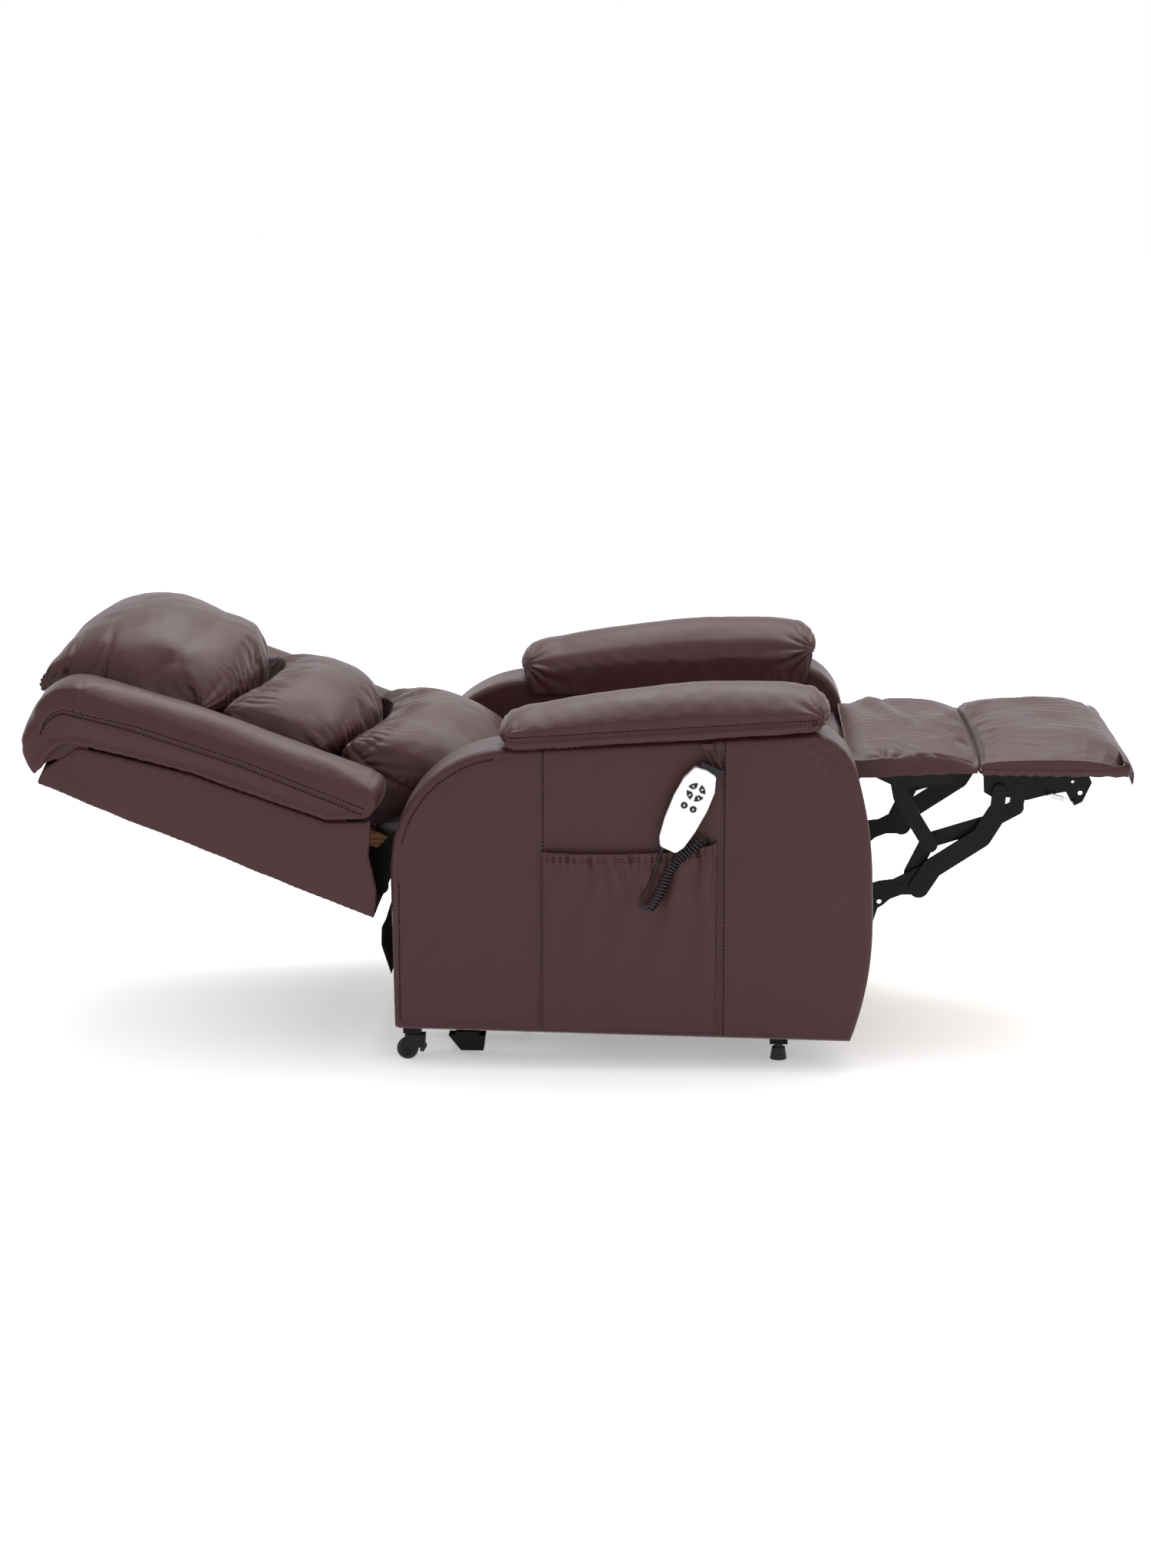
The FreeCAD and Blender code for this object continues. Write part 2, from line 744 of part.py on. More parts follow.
def actuator(motor_pivot, rod_pivot, y, motor_side):
    """Sleeve with gearbox and motor, and the rod that slides in it, along the line of the pivots."""
    run = point(rod_pivot) - point(motor_pivot)
    length = run.Length
    ahead = Vector(1, 0, 0)
    sleeve_end = length - sleeve_short
    case = sleeve_radius + 3
    sleeve = Part.makeCylinder(sleeve_radius, sleeve_end - sleeve_start, ahead * sleeve_start, ahead)
    neck = Part.makeCylinder(eye_half - 1, sleeve_start + 2, Vector(0, 0, 0), ahead)
    tail = rod((0.0, 0.0), -eye_half, eye_half, eye_radius + 1)
    gearbox = box(sleeve_start, sleeve_start + 46, -case, case, -case, case)
    bridge_low, bridge_high = sorted((0.0, motor_side * 40.0))
    bridge = box(sleeve_start + 6, sleeve_start + 40, bridge_low, bridge_high, -15, 15)
    motor_foot = Vector(sleeve_start + 10, motor_side * 47.0, 0)
    motor = Part.makeCylinder(motor_radius, motor_length, motor_foot, ahead)
    bore = Part.makeCylinder(rod_radius + soft_gap, length, ahead * (rod_start - 6), ahead)
    pin = rod((0.0, 0.0), -eye_half - 1, eye_half + 1, rivet_radius + pin_play)
    housing = fuse([sleeve, neck, tail, gearbox, bridge, motor]).cut(bore).cut(pin)
    eye_place = (length, 0.0)
    rod_bar = Part.makeCylinder(rod_radius, length - rod_start - eye_radius + 4, ahead * rod_start, ahead)
    eye = rod(eye_place, -eye_half, eye_half, eye_radius)
    rod_piece = fuse([rod_bar, eye]).cut(rod(eye_place, -eye_half - 1, eye_half + 1, rivet_radius))
    turn = -math.degrees(math.atan2(run.z, run.x))
    for piece in (housing, rod_piece):
        piece.rotate(Vector(0, 0, 0), Vector(0, 1, 0), turn)
        piece.translate(point(motor_pivot, y))
    return housing, rod_piece


# Backrest, drawn in its own frame: minus X is up towards the head, Z is forward

def flip(steps):
    """Turns (up, forward) places into the drawing frame's X and Z."""
    return [tuple((-p[0], p[1]) for p in s) if isinstance(s[0], tuple) else (-s[0], s[1]) for s in steps]


back_board_low = 30.0
back_board_high = 100.0
frame_top = shell_length - shell_side - 3.0
cushion_base = back_board_high + soft_gap

shell_steps = flip([
    (0.0, 0.0), (shell_length, 0.0), (shell_length - 2, 29.0), (557.0, 86.0), (359.0, 114.0),
    (130.0, 125.0), (66.0, 154.0), (48.0, 96.0), (14.0, 47.0),
])

head_steps = flip([
    (640.0, cushion_base), (346.0, cushion_base), (320.0, 215.0),
    ((298.0, 240.0), (312.0, 266.0)), ((358.0, 289.0), (424.0, 293.0)), ((520.0, 291.0), (584.0, 262.0)),
    ((628.0, 226.0), (644.0, 166.0)), ((650.0, 136.0), (640.0, cushion_base)),
])

shoulder_steps = flip([
    (342.0, cushion_base), (105.0, cushion_base), (118.0, 215.0),
    ((104.0, 244.0), (118.0, 276.0)), ((165.0, 295.0), (230.0, 297.0)), ((268.0, 290.0), (290.0, 266.0)),
    (296.0, 215.0),
])

lumbar_steps = flip([
    (102.0, cushion_base), (20.0, cushion_base), (-70.0, 190.0), (-95.0, 220.0),
    ((-148.0, 252.0), (-118.0, 288.0)), ((-35.0, 317.0), (60.0, 307.0)), ((88.0, 294.0), (98.0, 258.0)),
    (86.0, 215.0),
])

bolster_steps = flip([
    (74.0, 154.0), ((58.0, 190.0), (78.0, 222.0)), ((330.0, 212.0), (574.0, 194.0)),
    ((632.0, 168.0), (651.0, 100.0)), ((647.0, 44.0), (609.0, 6.0)), (603.0, 34.0),
    ((592.0, 72.0), (559.0, 88.5)), (359.0, 116.5), (130.0, 127.5),
])


def back_shell():
    """Outer cover of the back: rear sheet, two sides and the head end."""
    outer = slab(shell_steps, -back_half, back_half)
    inner_steps = flip([(-60.0, shell_skin), (shell_length - shell_side, shell_skin),
                        (shell_length - shell_side, 400.0), (-60.0, 400.0)])
    inner = slab(inner_steps, -back_half + shell_side, back_half - shell_side)
    return leaned(outer.cut(inner))


def back_frame():
    """Plywood stiles and cross rails."""
    stile_out = hinge_plane - soft_gap
    stile_in = stile_out - rail_thick
    low = back_board_low
    high = back_board_high
    stile = box(-frame_top, -24.0, -stile_out, -stile_in, low, high)
    head_rail = box(-frame_top, -frame_top + rail_thick, -stile_in, stile_in, low, high)
    rails = [box(-u - rail_thick, -u, -stile_in, stile_in, high - 40, high) for u in (60.0, 230.0, 400.0)]
    wing_out = back_half - shell_side - 1
    wings = [box(-u - rail_thick, -u, -wing_out, -stile_out, shell_skin + 6, 82.0)
             for u in (210.0, frame_top - 65)]
    return leaned(fuse([stile, mirrored(stile), head_rail] + rails + wings + [mirrored(w) for w in wings]))


def back_brackets():
    """Steel hinge brackets on the stiles, with the cross bar that the actuator pushes."""
    hinge = back_place((back_hinge_x, back_hinge_z))
    bar = (-10.0, 20.0)
    low, high = plate_span(hinge_plane, link_thick)
    plate = fuse([
        strip([hinge, (-30.0, 62.0), (-180.0, 62.0)], 17.0, low, high),
        strip([(-30.0, 62.0), bar], 12.0, low, high),
    ])
    plate = plate.cut(rod(hinge, low - 1, high + 1, rivet_radius + pin_play))
    cross = square_tube(bar, hinge_plane + link_thick, 18.0)
    tip = back_place(recline_rod_pivot)
    lugs = actuator_lugs(bar, tip, recline_y, 9.0)
    return leaned(fuse([plate, mirrored(plate), cross] + lugs))


def head_cushion():
    return leaned(padded(head_steps, -cushion_half, cushion_half, 20.0, 0.3, -16.0, cushion_base))


def shoulder_cushion():
    return leaned(padded(shoulder_steps, -shoulder_half, shoulder_half, 2.0, 0.3, -36.0, cushion_base))


def lumbar_cushion():
    return leaned(padded(lumbar_steps, -lumbar_half, lumbar_half, 4.0, 0.26, -30.0, cushion_base))


def back_bolster():
    return leaned(padded(bolster_steps, -arm_outer, -arm_inner, 7.0, 0.3, 0.0, 154.5))


# Legrest

def flap_board():
    steps = [(flap_rear_x, flap_rear_z), (seam_x - 4, flap_front_z), (seam_x - 4, flap_front_z + board_depth),
             (flap_rear_x, flap_rear_z + board_depth)]
    return slab(steps, -board_half, board_half)


def flap_cushion():
    rear = flap_rear_z + board_depth + soft_gap
    front = flap_front_z + board_depth + soft_gap
    steps = [
        (flap_rear_x, rear), (seam_x - 2, front), ((seam_x - 1, front + 8), (seam_x - 4, 516.0)),
        ((580.0, 523.0), (flap_rear_x + 4, 512.0)), ((flap_rear_x - 2, rear + 12), (flap_rear_x, rear)),
    ]
    return padded(steps, -flap_half, flap_half, 2.0, 0.2, 0.0, front)


def flap_arms():
    """Hinge arms of the flap, with the strut that reaches down to the links."""
    low, high = plate_span(flap_plane, flap_arm_thick)
    hinge = (flap_hinge_x, flap_hinge_z)
    arm = strip([hinge, (505.0, 480.0), (531.0, 468.0), (620.0, 474.0)], 9.0, low, high)
    strut = strip([(531.0, 468.0), (536.0, 443.0), strut_end], link_half, low, high)
    flange = slab([(512.0, 475.0), (632.0, 482.3), (632.0, 484.8), (512.0, 477.5)], low, -board_half + 20)
    seam = (seam_x, seam_z)
    leaf_high = -board_half + seam_knuckle_wide
    leaf = slab([(630.0, 482.2), (659.0, 484.0), (666.0, 487.2), seam, (661.0, 489.0), (660.2, 486.4),
                 (630.0, 484.6)], -board_half, leaf_high)
    knuckle = rod(seam, -board_half, leaf_high, seam_knuckle)
    pin = rod(seam, leaf_high, leaf_high + seam_knuckle_wide + 1, seam_pin)
    arm = fuse([arm, strut, flange, leaf, knuckle, pin])
    return pair(arm.cut(rod(hinge, low - 1, high + 1, rivet_radius + pin_play)))


def footrest_board():
    return box(seam_x + 8, foot_end_x - 10, -board_half, board_half, foot_board_z, foot_board_z + board_depth)


def footrest_cushion():
    low = foot_board_z + board_depth + soft_gap
    steps = [
        (seam_x + 4, low), (foot_end_x - 6, low), ((foot_end_x, low + 3), (foot_end_x - 4, low + 9)),
        ((800.0, 530.0), (seam_x + 6, 518.0)), ((seam_x + 2, low + 10), (seam_x + 4, low)),
    ]
    return padded(steps, -footrest_half, footrest_half, 3.0, 0.25, 0.0, low)


def footrest_brackets():
    """Side plates under the footrest board, with the rivets of the two upper links."""
    low, high = plate_span(mid_plane, link_thick)
    top = foot_board_z
    plate = slab([
        (674.0, top), (676.0, 446.0), (688.0, 439.0), (719.0, 437.5), (747.0, 433.0), (784.0, 443.0),
        (812.0, 448.0), (820.0, 433.0), (827.0, 424.5), (840.0, 431.0), (855.0, 464.0), (848.0, top),
    ], low, high)
    plate = plate.cut(rod((836.0, 446.0), low - 1, high + 1, 4.0))
    plate = plate.cut(rod((823.0, 465.0), low - 1, high + 1, 2.5))
    flange = box(690.0, 840.0, low, high + 24, top - 2.5, top)
    out = low - rivet_proud
    front_low = -front_plane - link_thick
    front_rivet = rod(foot_pivot_a, front_low, low, rivet_radius)
    front_cap = rod(foot_pivot_a, front_low - rivet_proud, front_low, rivet_head)
    rear_rivet = rod(foot_pivot_b, high, -rear_plane, rivet_radius)
    rear_cap = rod(foot_pivot_b, -rear_plane, -rear_plane + 1.2, rivet_head - 2)
    rear_head = rod(foot_pivot_b, out, low, rivet_head)
    studs = [rod(p, spring_y - spring_coil, low, stud_radius) for p in (spring_start_stud, spring_end_stud)]
    seam = (seam_x, seam_z)
    leaf_low = -board_half + seam_knuckle_wide + 1
    leaf_high = leaf_low + seam_knuckle_wide
    leaf = slab([(692.0, top - 2.5), (669.0, top - 2.5), (662.5, 486.8), seam, (667.0, 488.5), (671.6, top),
                 (692.0, top)], leaf_low, leaf_high)
    knuckle = rod(seam, leaf_low, leaf_high, seam_knuckle)
    rivets = [front_rivet, front_cap, rear_rivet, rear_cap, rear_head]
    bracket = fuse([plate, flange, leaf, knuckle] + rivets + studs)
    return pair(bracket.cut(rod(seam, leaf_low - 1, leaf_high + 1, seam_pin + pin_play)))


def legrest_springs():
    """Small tension coil between two studs of the footrest bracket."""
    start = point(spring_start_stud, spring_y)
    end = point(spring_end_stud, spring_y)
    along = (end - start).normalize()
    first = start + along * (stud_radius + soft_gap)
    last = end - along * (stud_radius + soft_gap)
    side = Vector(0, 1, 0)
    up = along.cross(side)
    pitch = 2.5
    places = [first]
    ways = [along]
    for k in range(spring_coils * 4 + 1):
        angle = 2 * math.pi * k / 4
        reach = spring_coil - spring_wire_small / 2
        middle = first + along * (4.0 + pitch * k / 4)
        places.append(middle + side * (reach * math.cos(angle)) + up * (reach * math.sin(angle)))
        slope = along * (pitch / (2 * math.pi))
        slope += side * (-reach * math.sin(angle)) + up * (reach * math.cos(angle))
        ways.append(slope.normalize())
    places += [last - along * 8, last]
    ways += [along, along]
    coil = tube_along(places, ways, spring_wire_small / 2)
    gap = least_gap(places_along(places, ways), spring_wire_small, 6.0)
    print("legrest spring, least gap between turns", round(gap, 2))
    return pair(coil)


def upper_front_links():
    """From the bracket's front rivet down to the knee that it shares with the lower link."""
    low, high = plate_span(front_plane, link_thick)
    neck = (698.0, 412.0)
    bar = fuse([strip([foot_pivot_a, neck], 12.0, low, high),
                strip([neck, (673.0, 370.0), (592.0, 316.0), knee_d], 17.0, low, high),
                rod(knee_d, low - rivet_proud, low, rivet_head - 1)])
    return pair(bar.cut(rod(foot_pivot_a, low - 1, high + 1, rivet_radius + pin_play)))


def upper_rear_links():
    """From the bracket's rear rivet, past the flap's strut, to the upper knee."""
    low, high = plate_span(rear_plane, link_thick)
    neck = (731.0, 419.0)
    bar = fuse([strip([foot_pivot_b, neck], 12.0, low, high),
                strip([neck, (681.0, 391.0), strut_end, knee_e], link_half, low, high),
                rod(knee_e, low - knee_boss, low, 6.0)])
    return pair(bar.cut(rod(foot_pivot_b, low - 1, high + 1, rivet_radius + pin_play)))


def lower_links():
    """One cranked plate a side, from the torque tube to the two knees."""
    low, high = plate_span(mid_plane, link_thick)
    crank = slab([
        (486.0, 238.0), (497.0, 241.5), (512.0, 251.0), (523.0, 261.0), (542.0, 268.5), (574.0, 269.0),
        (590.0, 292.0), (575.0, 320.0), (528.0, 295.0), (505.0, 292.0), (480.0, 284.0),
    ], low, high)
    bar = fuse([crank, strip([torque_pivot, (492.0, 262.0)], torque_hub, low, high)])
    bosses = [rod(knee_d, low - knee_boss, low, 6.0)]
    bosses += [rod(p, low - rivet_proud, low, 5.0) for p in ((539.0, 283.0), knee_e)]
    bar = fuse([bar] + bosses)
    return pair(bar.cut(rod((505.0, 256.0), low - 1, high + 1, 4.0)))


# Handset

handset_steps = [
    (-14.0, 0.0), (14.0, 0.0), (22.0, 14.0), (27.5, 46.0), (handset_half, 86.0), (28.0, 118.0),
    (19.0, handset_length - 3), (0.0, handset_length), (-19.0, handset_length - 3), (-28.0, 118.0),
    (-handset_half, 86.0), (-27.5, 46.0), (-22.0, 14.0),
]


def handset_body(y_low, y_high):
    body = slab(handset_steps, y_low, y_high)
    corners = [e for e in body.Edges if abs(e.Vertexes[0].Y - e.Vertexes[1].Y) > 1]
    return body.makeFillet(handset_corner, corners)


def handset_shell(y_low, y_high, rounded_y):
    half = handset_body(y_low, y_high)
    rim = [e for e in half.Edges
           if abs(e.BoundBox.YMin - rounded_y) < 0.01 and abs(e.BoundBox.YMax - rounded_y) < 0.01]
    return half.makeFillet(handset_rim, rim)


def sector(angle, play=0.0):
    """One of the four curved keys round the ring's middle, as an outline."""
    outer = button_ring_outer + play
    inner = button_ring_inner - play
    spread = math.radians(33) + play / outer
    inner_spread = math.radians(22) + play / inner

    def at(radius, swing):
        return (radius * math.cos(angle + swing), button_ring_z + radius * math.sin(angle + swing))

    return [at(outer, -spread), (at(outer, 0), at(outer, spread)), at(inner, inner_spread),
            (at(inner, 0), at(inner, -inner_spread))]


def handset_keys():
    """Name, key and the pocket that it slides in, for each of the six keys."""
    low = handset_front_y - button_proud
    high = handset_front_y + button_deep
    floor = high + button_proud + button_play
    keys = []
    for k, name in enumerate(("back_up_button", "legs_up_button", "legs_down_button", "back_down_button")):
        angle = math.radians(135 - 90 * k)
        keys.append((name, slab(sector(angle), low, high), slab(sector(angle, button_play), low, floor)))
    for name, x in (("rise_button", -round_button_x), ("lower_button", round_button_x)):
        place = (x, round_button_z)
        pocket = rod(place, low, floor, round_button_radius + button_play)
        keys.append((name, rod(place, low, high, round_button_radius), pocket))
    return keys


def handset_front():
    front = handset_shell(handset_front_y, handset_seam_y, handset_front_y)
    for name, key, pocket in handset_keys():
        front = front.cut(pocket)
    return held(front)


def handset_back():
    return held(handset_shell(handset_seam_y, handset_back_y, handset_back_y))


def handset_hook():
    """Bar across the handset's top end, with the pin that hangs in the strap."""
    bar = box(hook_low_x, hook_pivot[0] + 3, handset_seam_y - 2.5, handset_seam_y + 3,
              handset_length - 9, handset_length + hook_thick)
    bar = bar.cut(handset_body(handset_front_y, handset_back_y))
    pin = rod(hook_pivot, handset_seam_y - 2.5, strap_high_y + 0.8, hook_pin_radius)
    cap = rod(hook_pivot, strap_high_y + 0.8, strap_high_y + 2.3, hook_pin_radius + 2)
    return held(fuse([bar, pin, cap]))


def strain_relief():
    foot = Vector(relief_x, relief_y, 0)
    return held(Part.makeCone(relief_radius, relief_radius - 1.2, relief_length, foot, Vector(0, 0, -1)))


def handset_strap():
    """Leather loop sewn to the panel under the arm pad, round the handset's pin."""
    low = held_place(hook_pivot)
    inner = hook_pin_radius + soft_gap
    tab = box(strap_top[0] - 9, strap_top[0] + 9, strap_low_y, -arm_outer, strap_top[1] - 1, strap_top[1] + 7)
    band = strip([low, strap_top], inner + strap_thick, strap_low_y, strap_high_y)
    slot_top = (strap_top[0] + 3, strap_top[1] - 7)
    slot = strip([low, slot_top], inner, strap_low_y - 1, strap_high_y + 1)
    return fuse([band, tab]).cut(slot)


# Cord

def path_pieces(places, share):
    """Straight runs joined by tangent arcs, each as large as its shorter run allows."""
    pieces = []
    here = places[0]
    for before, corner, after in zip(places, places[1:], places[2:]):
        way_in = (corner - before).normalize()
        way_out = (after - corner).normalize()
        turn = way_in.getAngle(way_out)
        leg = share * min((corner - before).Length, (after - corner).Length)
        radius = leg / math.tan(turn / 2)
        start = corner - way_in * leg
        pieces.append(("run", here, start, way_in, (start - here).Length))
        pieces.append(("arc", start, corner, way_in, way_out, radius, turn))
        here = corner + way_out * leg
    pieces.append(("run", here, places[-1], (places[-1] - here).normalize(), (places[-1] - here).Length))
    return pieces


def piece_length(piece):
    return piece[4] if piece[0] == "run" else piece[5] * piece[6]


def along_path(pieces, distance):
    """Place and direction at a distance along the runs and arcs."""
    for piece in pieces:
        length = piece_length(piece)
        if distance <= length or piece is pieces[-1]:
            if piece[0] == "run":
                return piece[1] + piece[3] * distance, piece[3]
            start, way_in, way_out, radius, turn = piece[1], piece[3], piece[4], piece[5], piece[6]
            inward = (way_out - way_in * math.cos(turn)).normalize()
            angle = distance / radius
            place = start + way_in * (radius * math.sin(angle)) + inward * (radius * (1 - math.cos(angle)))
            return place, way_in * math.cos(angle) + inward * math.sin(angle)
        distance -= length


def cord_route():
    """The cord's middle line, chosen by hand: down from the handset, round, up and into the pocket."""
    top = held_place((relief_x, -relief_length))
    tail = held_place((relief_x, -relief_length - 12.0))
    hand_picked = [
        (129.5, 345.0, relief_y), (118.5, 324.0, relief_y - 2), (101.8, 295.8, relief_y - 5.5),
        (104.2, 286.7, cord_y), (112.3, 282.0, cord_y), (121.3, 284.5, cord_y), (140.0, 317.0, cord_y),
        (148.5, 343.0, cord_y), (158.5, 360.5, cord_y), (172.0, 374.5, cord_y), (186.0, 385.0, cord_y),
        (198.0, 394.6, cord_y + 1.4), (207.4, 402.5, cord_y + 6.4), (213.7, 401.4, cord_y + 13.9),
        (216.9, 393.3, pocket_wire_y + 2.4), (213.0, 374.1, pocket_wire_y),
    ]
    places = [point(top, relief_y), point(tail, relief_y)]
    places += [Vector(px, py, pz) for px, pz, py in hand_picked]
    places.append(point(grommet, pocket_wire_y))
    return places


def cord_samples():
    """Places and directions along the cord: plain at both ends, curled between."""
    pieces = path_pieces(cord_route(), 0.48)
    total = sum(piece_length(p) for p in pieces)
    radii = [p[5] for p in pieces if p[0] == "arc"]
    print("cord length", round(total, 1), "radii", [round(r, 1) for r in radii])
    start = total * curl_start
    end = total * curl_end
    pitch = (end - start) / curl_count

    def place_at(distance):
        middle, way = along_path(pieces, distance)
        if distance <= start or distance >= end:
            return middle
        ramp = min(1.0, (distance - start) / pitch, (end - distance) / pitch)
        swell = curl_radius * math.sin(ramp * math.pi / 2) ** 2
        side = Vector(0, 1, 0)
        side = (side - way * side.dot(way)).normalize()
        up = way.cross(side)
        angle = 2 * math.pi * (distance - start) / pitch
        return middle + side * (swell * math.cos(angle)) + up * (swell * math.sin(angle))

    stops = []
    run = 0.0
    for piece in pieces:
        for share in (0.0, 0.5):
            stop = run + piece_length(piece) * share
            if (stop < start - 1 or stop > end + 1) and piece_length(piece) * 0.5 > 0.2:
                stops.append(stop)
        run += piece_length(piece)
    stops += [start + pitch * k / 4 for k in range(4 * curl_count + 1)]
    stops.append(total)
    stops.sort()
    places = [place_at(s) for s in stops]
    step = 0.01
    ways = []
    for s in stops:
        low = max(0.0, s - step)
        high = min(total, s + step)
        ways.append((place_at(high) - place_at(low)).normalize())
    print("curl pitch", round(pitch, 2))
    return places, ways


def places_along(places, ways):
    """Points on the biarcs through the places, in order."""
    line = []
    for i in range(len(places) - 1):
        for edge in biarc(places[i], ways[i], places[i + 1], ways[i + 1]):
            line += edge.discretize(5)[:-1]
    return line + [places[-1]]


def least_gap(line, wire, apart):
    """Least clear distance between stretches of a tube that lie further apart along it than a limit."""
    runs = [0.0]
    for a, b in zip(line, line[1:]):
        runs.append(runs[-1] + (b - a).Length)
    least = 1e9
    for i in range(len(line)):
        for j in range(i + 1, len(line)):
            if runs[j] - runs[i] > apart:
                least = min(least, (line[i] - line[j]).Length)
    return least - wire


def handset_cord():
    places, ways = cord_samples()
    cord = tube_along(places, ways, cord_wire / 2)
    line = places_along(places, ways)
    length = sum((b - a).Length for a, b in zip(line, line[1:]))
    print("cord wire length", round(length, 1), "volume over section times length",
          round(cord.Volume / (math.pi * cord_wire ** 2 / 4 * length), 3))
    print("cord, least gap to itself", round(least_gap(line, cord_wire, 3 * cord_wire), 2))
    return cord


# Pocket, grommet and rear lining

def side_pocket():
    """Leather pouch sewn to the panel along its sides and foot, open at the hem."""
    face = -arm_outer
    mouth = face - pocket_depth
    outer = slab([(pocket_rear_x, pocket_bottom_z), (pocket_front_x, pocket_bottom_z),
                  (pocket_front_x, pocket_hem_front_z), pocket_hem_low, (pocket_rear_x, pocket_hem_rear_z)],
                 mouth - pocket_sheet, face)
    inner = slab([(pocket_rear_x + pocket_seam, pocket_bottom_z + pocket_seam),
                  (pocket_front_x - pocket_seam, pocket_bottom_z + pocket_seam),
                  (pocket_front_x - pocket_seam, pocket_hem_front_z + 20),
                  (pocket_rear_x + pocket_seam, pocket_hem_rear_z + 20)], mouth, face)
    return outer.cut(inner)


def cord_grommet():
    """Socket on the panel, inside the pocket, that the cord enters from above."""
    x, z = grommet
    return box(x - 5, x + 5, pocket_wire_y - grommet_half, -arm_outer, z - 14, z)


def rear_lining():
    """Cloth strip that closes the gap between the seat chassis and the foot of the back."""
    return slab([(-324.0, 240.0), (-324.0, 208.0), (-309.5, 158.0), (-306.8, 159.0), (-321.0, 209.0),
                 (-321.0, 240.0)], -lining_half, lining_half)


def main():
    os.makedirs("parts", exist_ok=True)
    panel = side_panel()
    save("right_side_panel", panel)
    save("left_side_panel", mirrored(panel))
    frame = arm_frame()
    save("right_arm_frame", frame)
    save("left_arm_frame", mirrored(frame))
    pad = arm_pad()
    save("right_arm_pad", pad)
    save("left_arm_pad", mirrored(pad))
    save("seat_cushion", seat_cushion())
    save("seat_deck", seat_deck())
    save("seat_springs", seat_springs())
    save("chassis_frame", chassis_frame())
    save("torque_tube", torque_tube())
    save("control_box", control_box())
    save("rear_lift_arms", rear_lift_arms())
    save("front_lift_arms", front_lift_arms())
    save("base_frame", base_frame())
    save("front_feet", front_feet())
    save("power_supply", power_supply())
    for side, place in (("left", Part.Shape.copy), ("right", mirrored)):
        save(side + "_castor_fork", place(castor_fork()))
        save(side + "_castor_wheel", place(castor_wheel()))
        save(side + "_castor_brake", place(castor_brake()))
    housing, bar = actuator(lift_motor_pivot, lift_rod_pivot, lift_y, -1)
    save("lift_motor", housing)
    save("lift_rod", bar)
    housing, bar = actuator(recline_motor_pivot, recline_rod_pivot, recline_y, 1)
    save("recline_motor", housing)
    save("recline_rod", bar)
    save("back_shell", back_shell())
    save("back_frame", back_frame())
    save("back_brackets", back_brackets())
    save("head_cushion", head_cushion())
    save("shoulder_cushion", shoulder_cushion())
    save("lumbar_cushion", lumbar_cushion())
    bolster = back_bolster()
    save("right_back_bolster", bolster)
    save("left_back_bolster", mirrored(bolster))
    save("flap_board", flap_board())
    save("flap_cushion", flap_cushion())
    save("flap_arms", flap_arms())
    save("footrest_board", footrest_board())
    save("footrest_cushion", footrest_cushion())
    save("footrest_brackets", footrest_brackets())
    save("legrest_springs", legrest_springs())
    save("upper_front_links", upper_front_links())
    save("upper_rear_links", upper_rear_links())
    save("lower_links", lower_links())
    save("handset_front", handset_front())
    save("handset_back", handset_back())
    for name, key, pocket in handset_keys():
        save(name, held(key))
    save("handset_hook", handset_hook())
    save("strain_relief", strain_relief())
    save("handset_strap", handset_strap())
    save("handset_cord", handset_cord())
    save("side_pocket", side_pocket())
    save("cord_grommet", cord_grommet())
    save("rear_lining", rear_lining())


main()
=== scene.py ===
# %% [markdown]
# # Lift recliner chair
# This lesson dresses a packed CAD model of a lift recliner in leather, cloth and cord. The CAD model
# is the frame: its steel, wood and plastic parts are shown as they are and only get a material.
# Whatever is soft on the real chair is made here, each piece in the room of its CAD solid.
# Lengths in the code are millimetres until a mesh is written, because that is how a chair is drawn.

# %% Frame
import json
import math

import bmesh
import bpy
import numpy as np
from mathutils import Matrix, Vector
from mathutils.bvhtree import BVHTree


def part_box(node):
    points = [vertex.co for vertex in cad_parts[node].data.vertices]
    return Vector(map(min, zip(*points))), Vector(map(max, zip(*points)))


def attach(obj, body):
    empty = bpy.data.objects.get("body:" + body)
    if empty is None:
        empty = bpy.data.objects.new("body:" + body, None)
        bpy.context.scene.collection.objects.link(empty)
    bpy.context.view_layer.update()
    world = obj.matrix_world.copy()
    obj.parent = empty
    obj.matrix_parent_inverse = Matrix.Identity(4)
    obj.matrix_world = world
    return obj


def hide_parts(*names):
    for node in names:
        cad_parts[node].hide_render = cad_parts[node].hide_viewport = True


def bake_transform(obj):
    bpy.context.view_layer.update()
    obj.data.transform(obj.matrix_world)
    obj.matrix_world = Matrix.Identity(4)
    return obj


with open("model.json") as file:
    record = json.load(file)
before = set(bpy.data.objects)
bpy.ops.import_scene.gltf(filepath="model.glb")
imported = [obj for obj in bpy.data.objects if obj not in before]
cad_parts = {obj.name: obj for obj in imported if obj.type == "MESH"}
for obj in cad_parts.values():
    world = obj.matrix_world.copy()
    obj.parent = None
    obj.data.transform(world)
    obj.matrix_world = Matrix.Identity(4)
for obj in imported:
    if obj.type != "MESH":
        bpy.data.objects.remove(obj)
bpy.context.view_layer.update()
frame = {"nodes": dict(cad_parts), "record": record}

scene = bpy.context.scene
nodes = frame["nodes"]
metres = 0.001

# %% [markdown]
# ## Camera
# The photograph shows the chair's right side, from a little above the arms. A wide lens close by
# would spread the near arm over the far one. The two arms lie almost behind each other, so a long
# lens stands far away, turned by about two degrees and dipped by twelve.

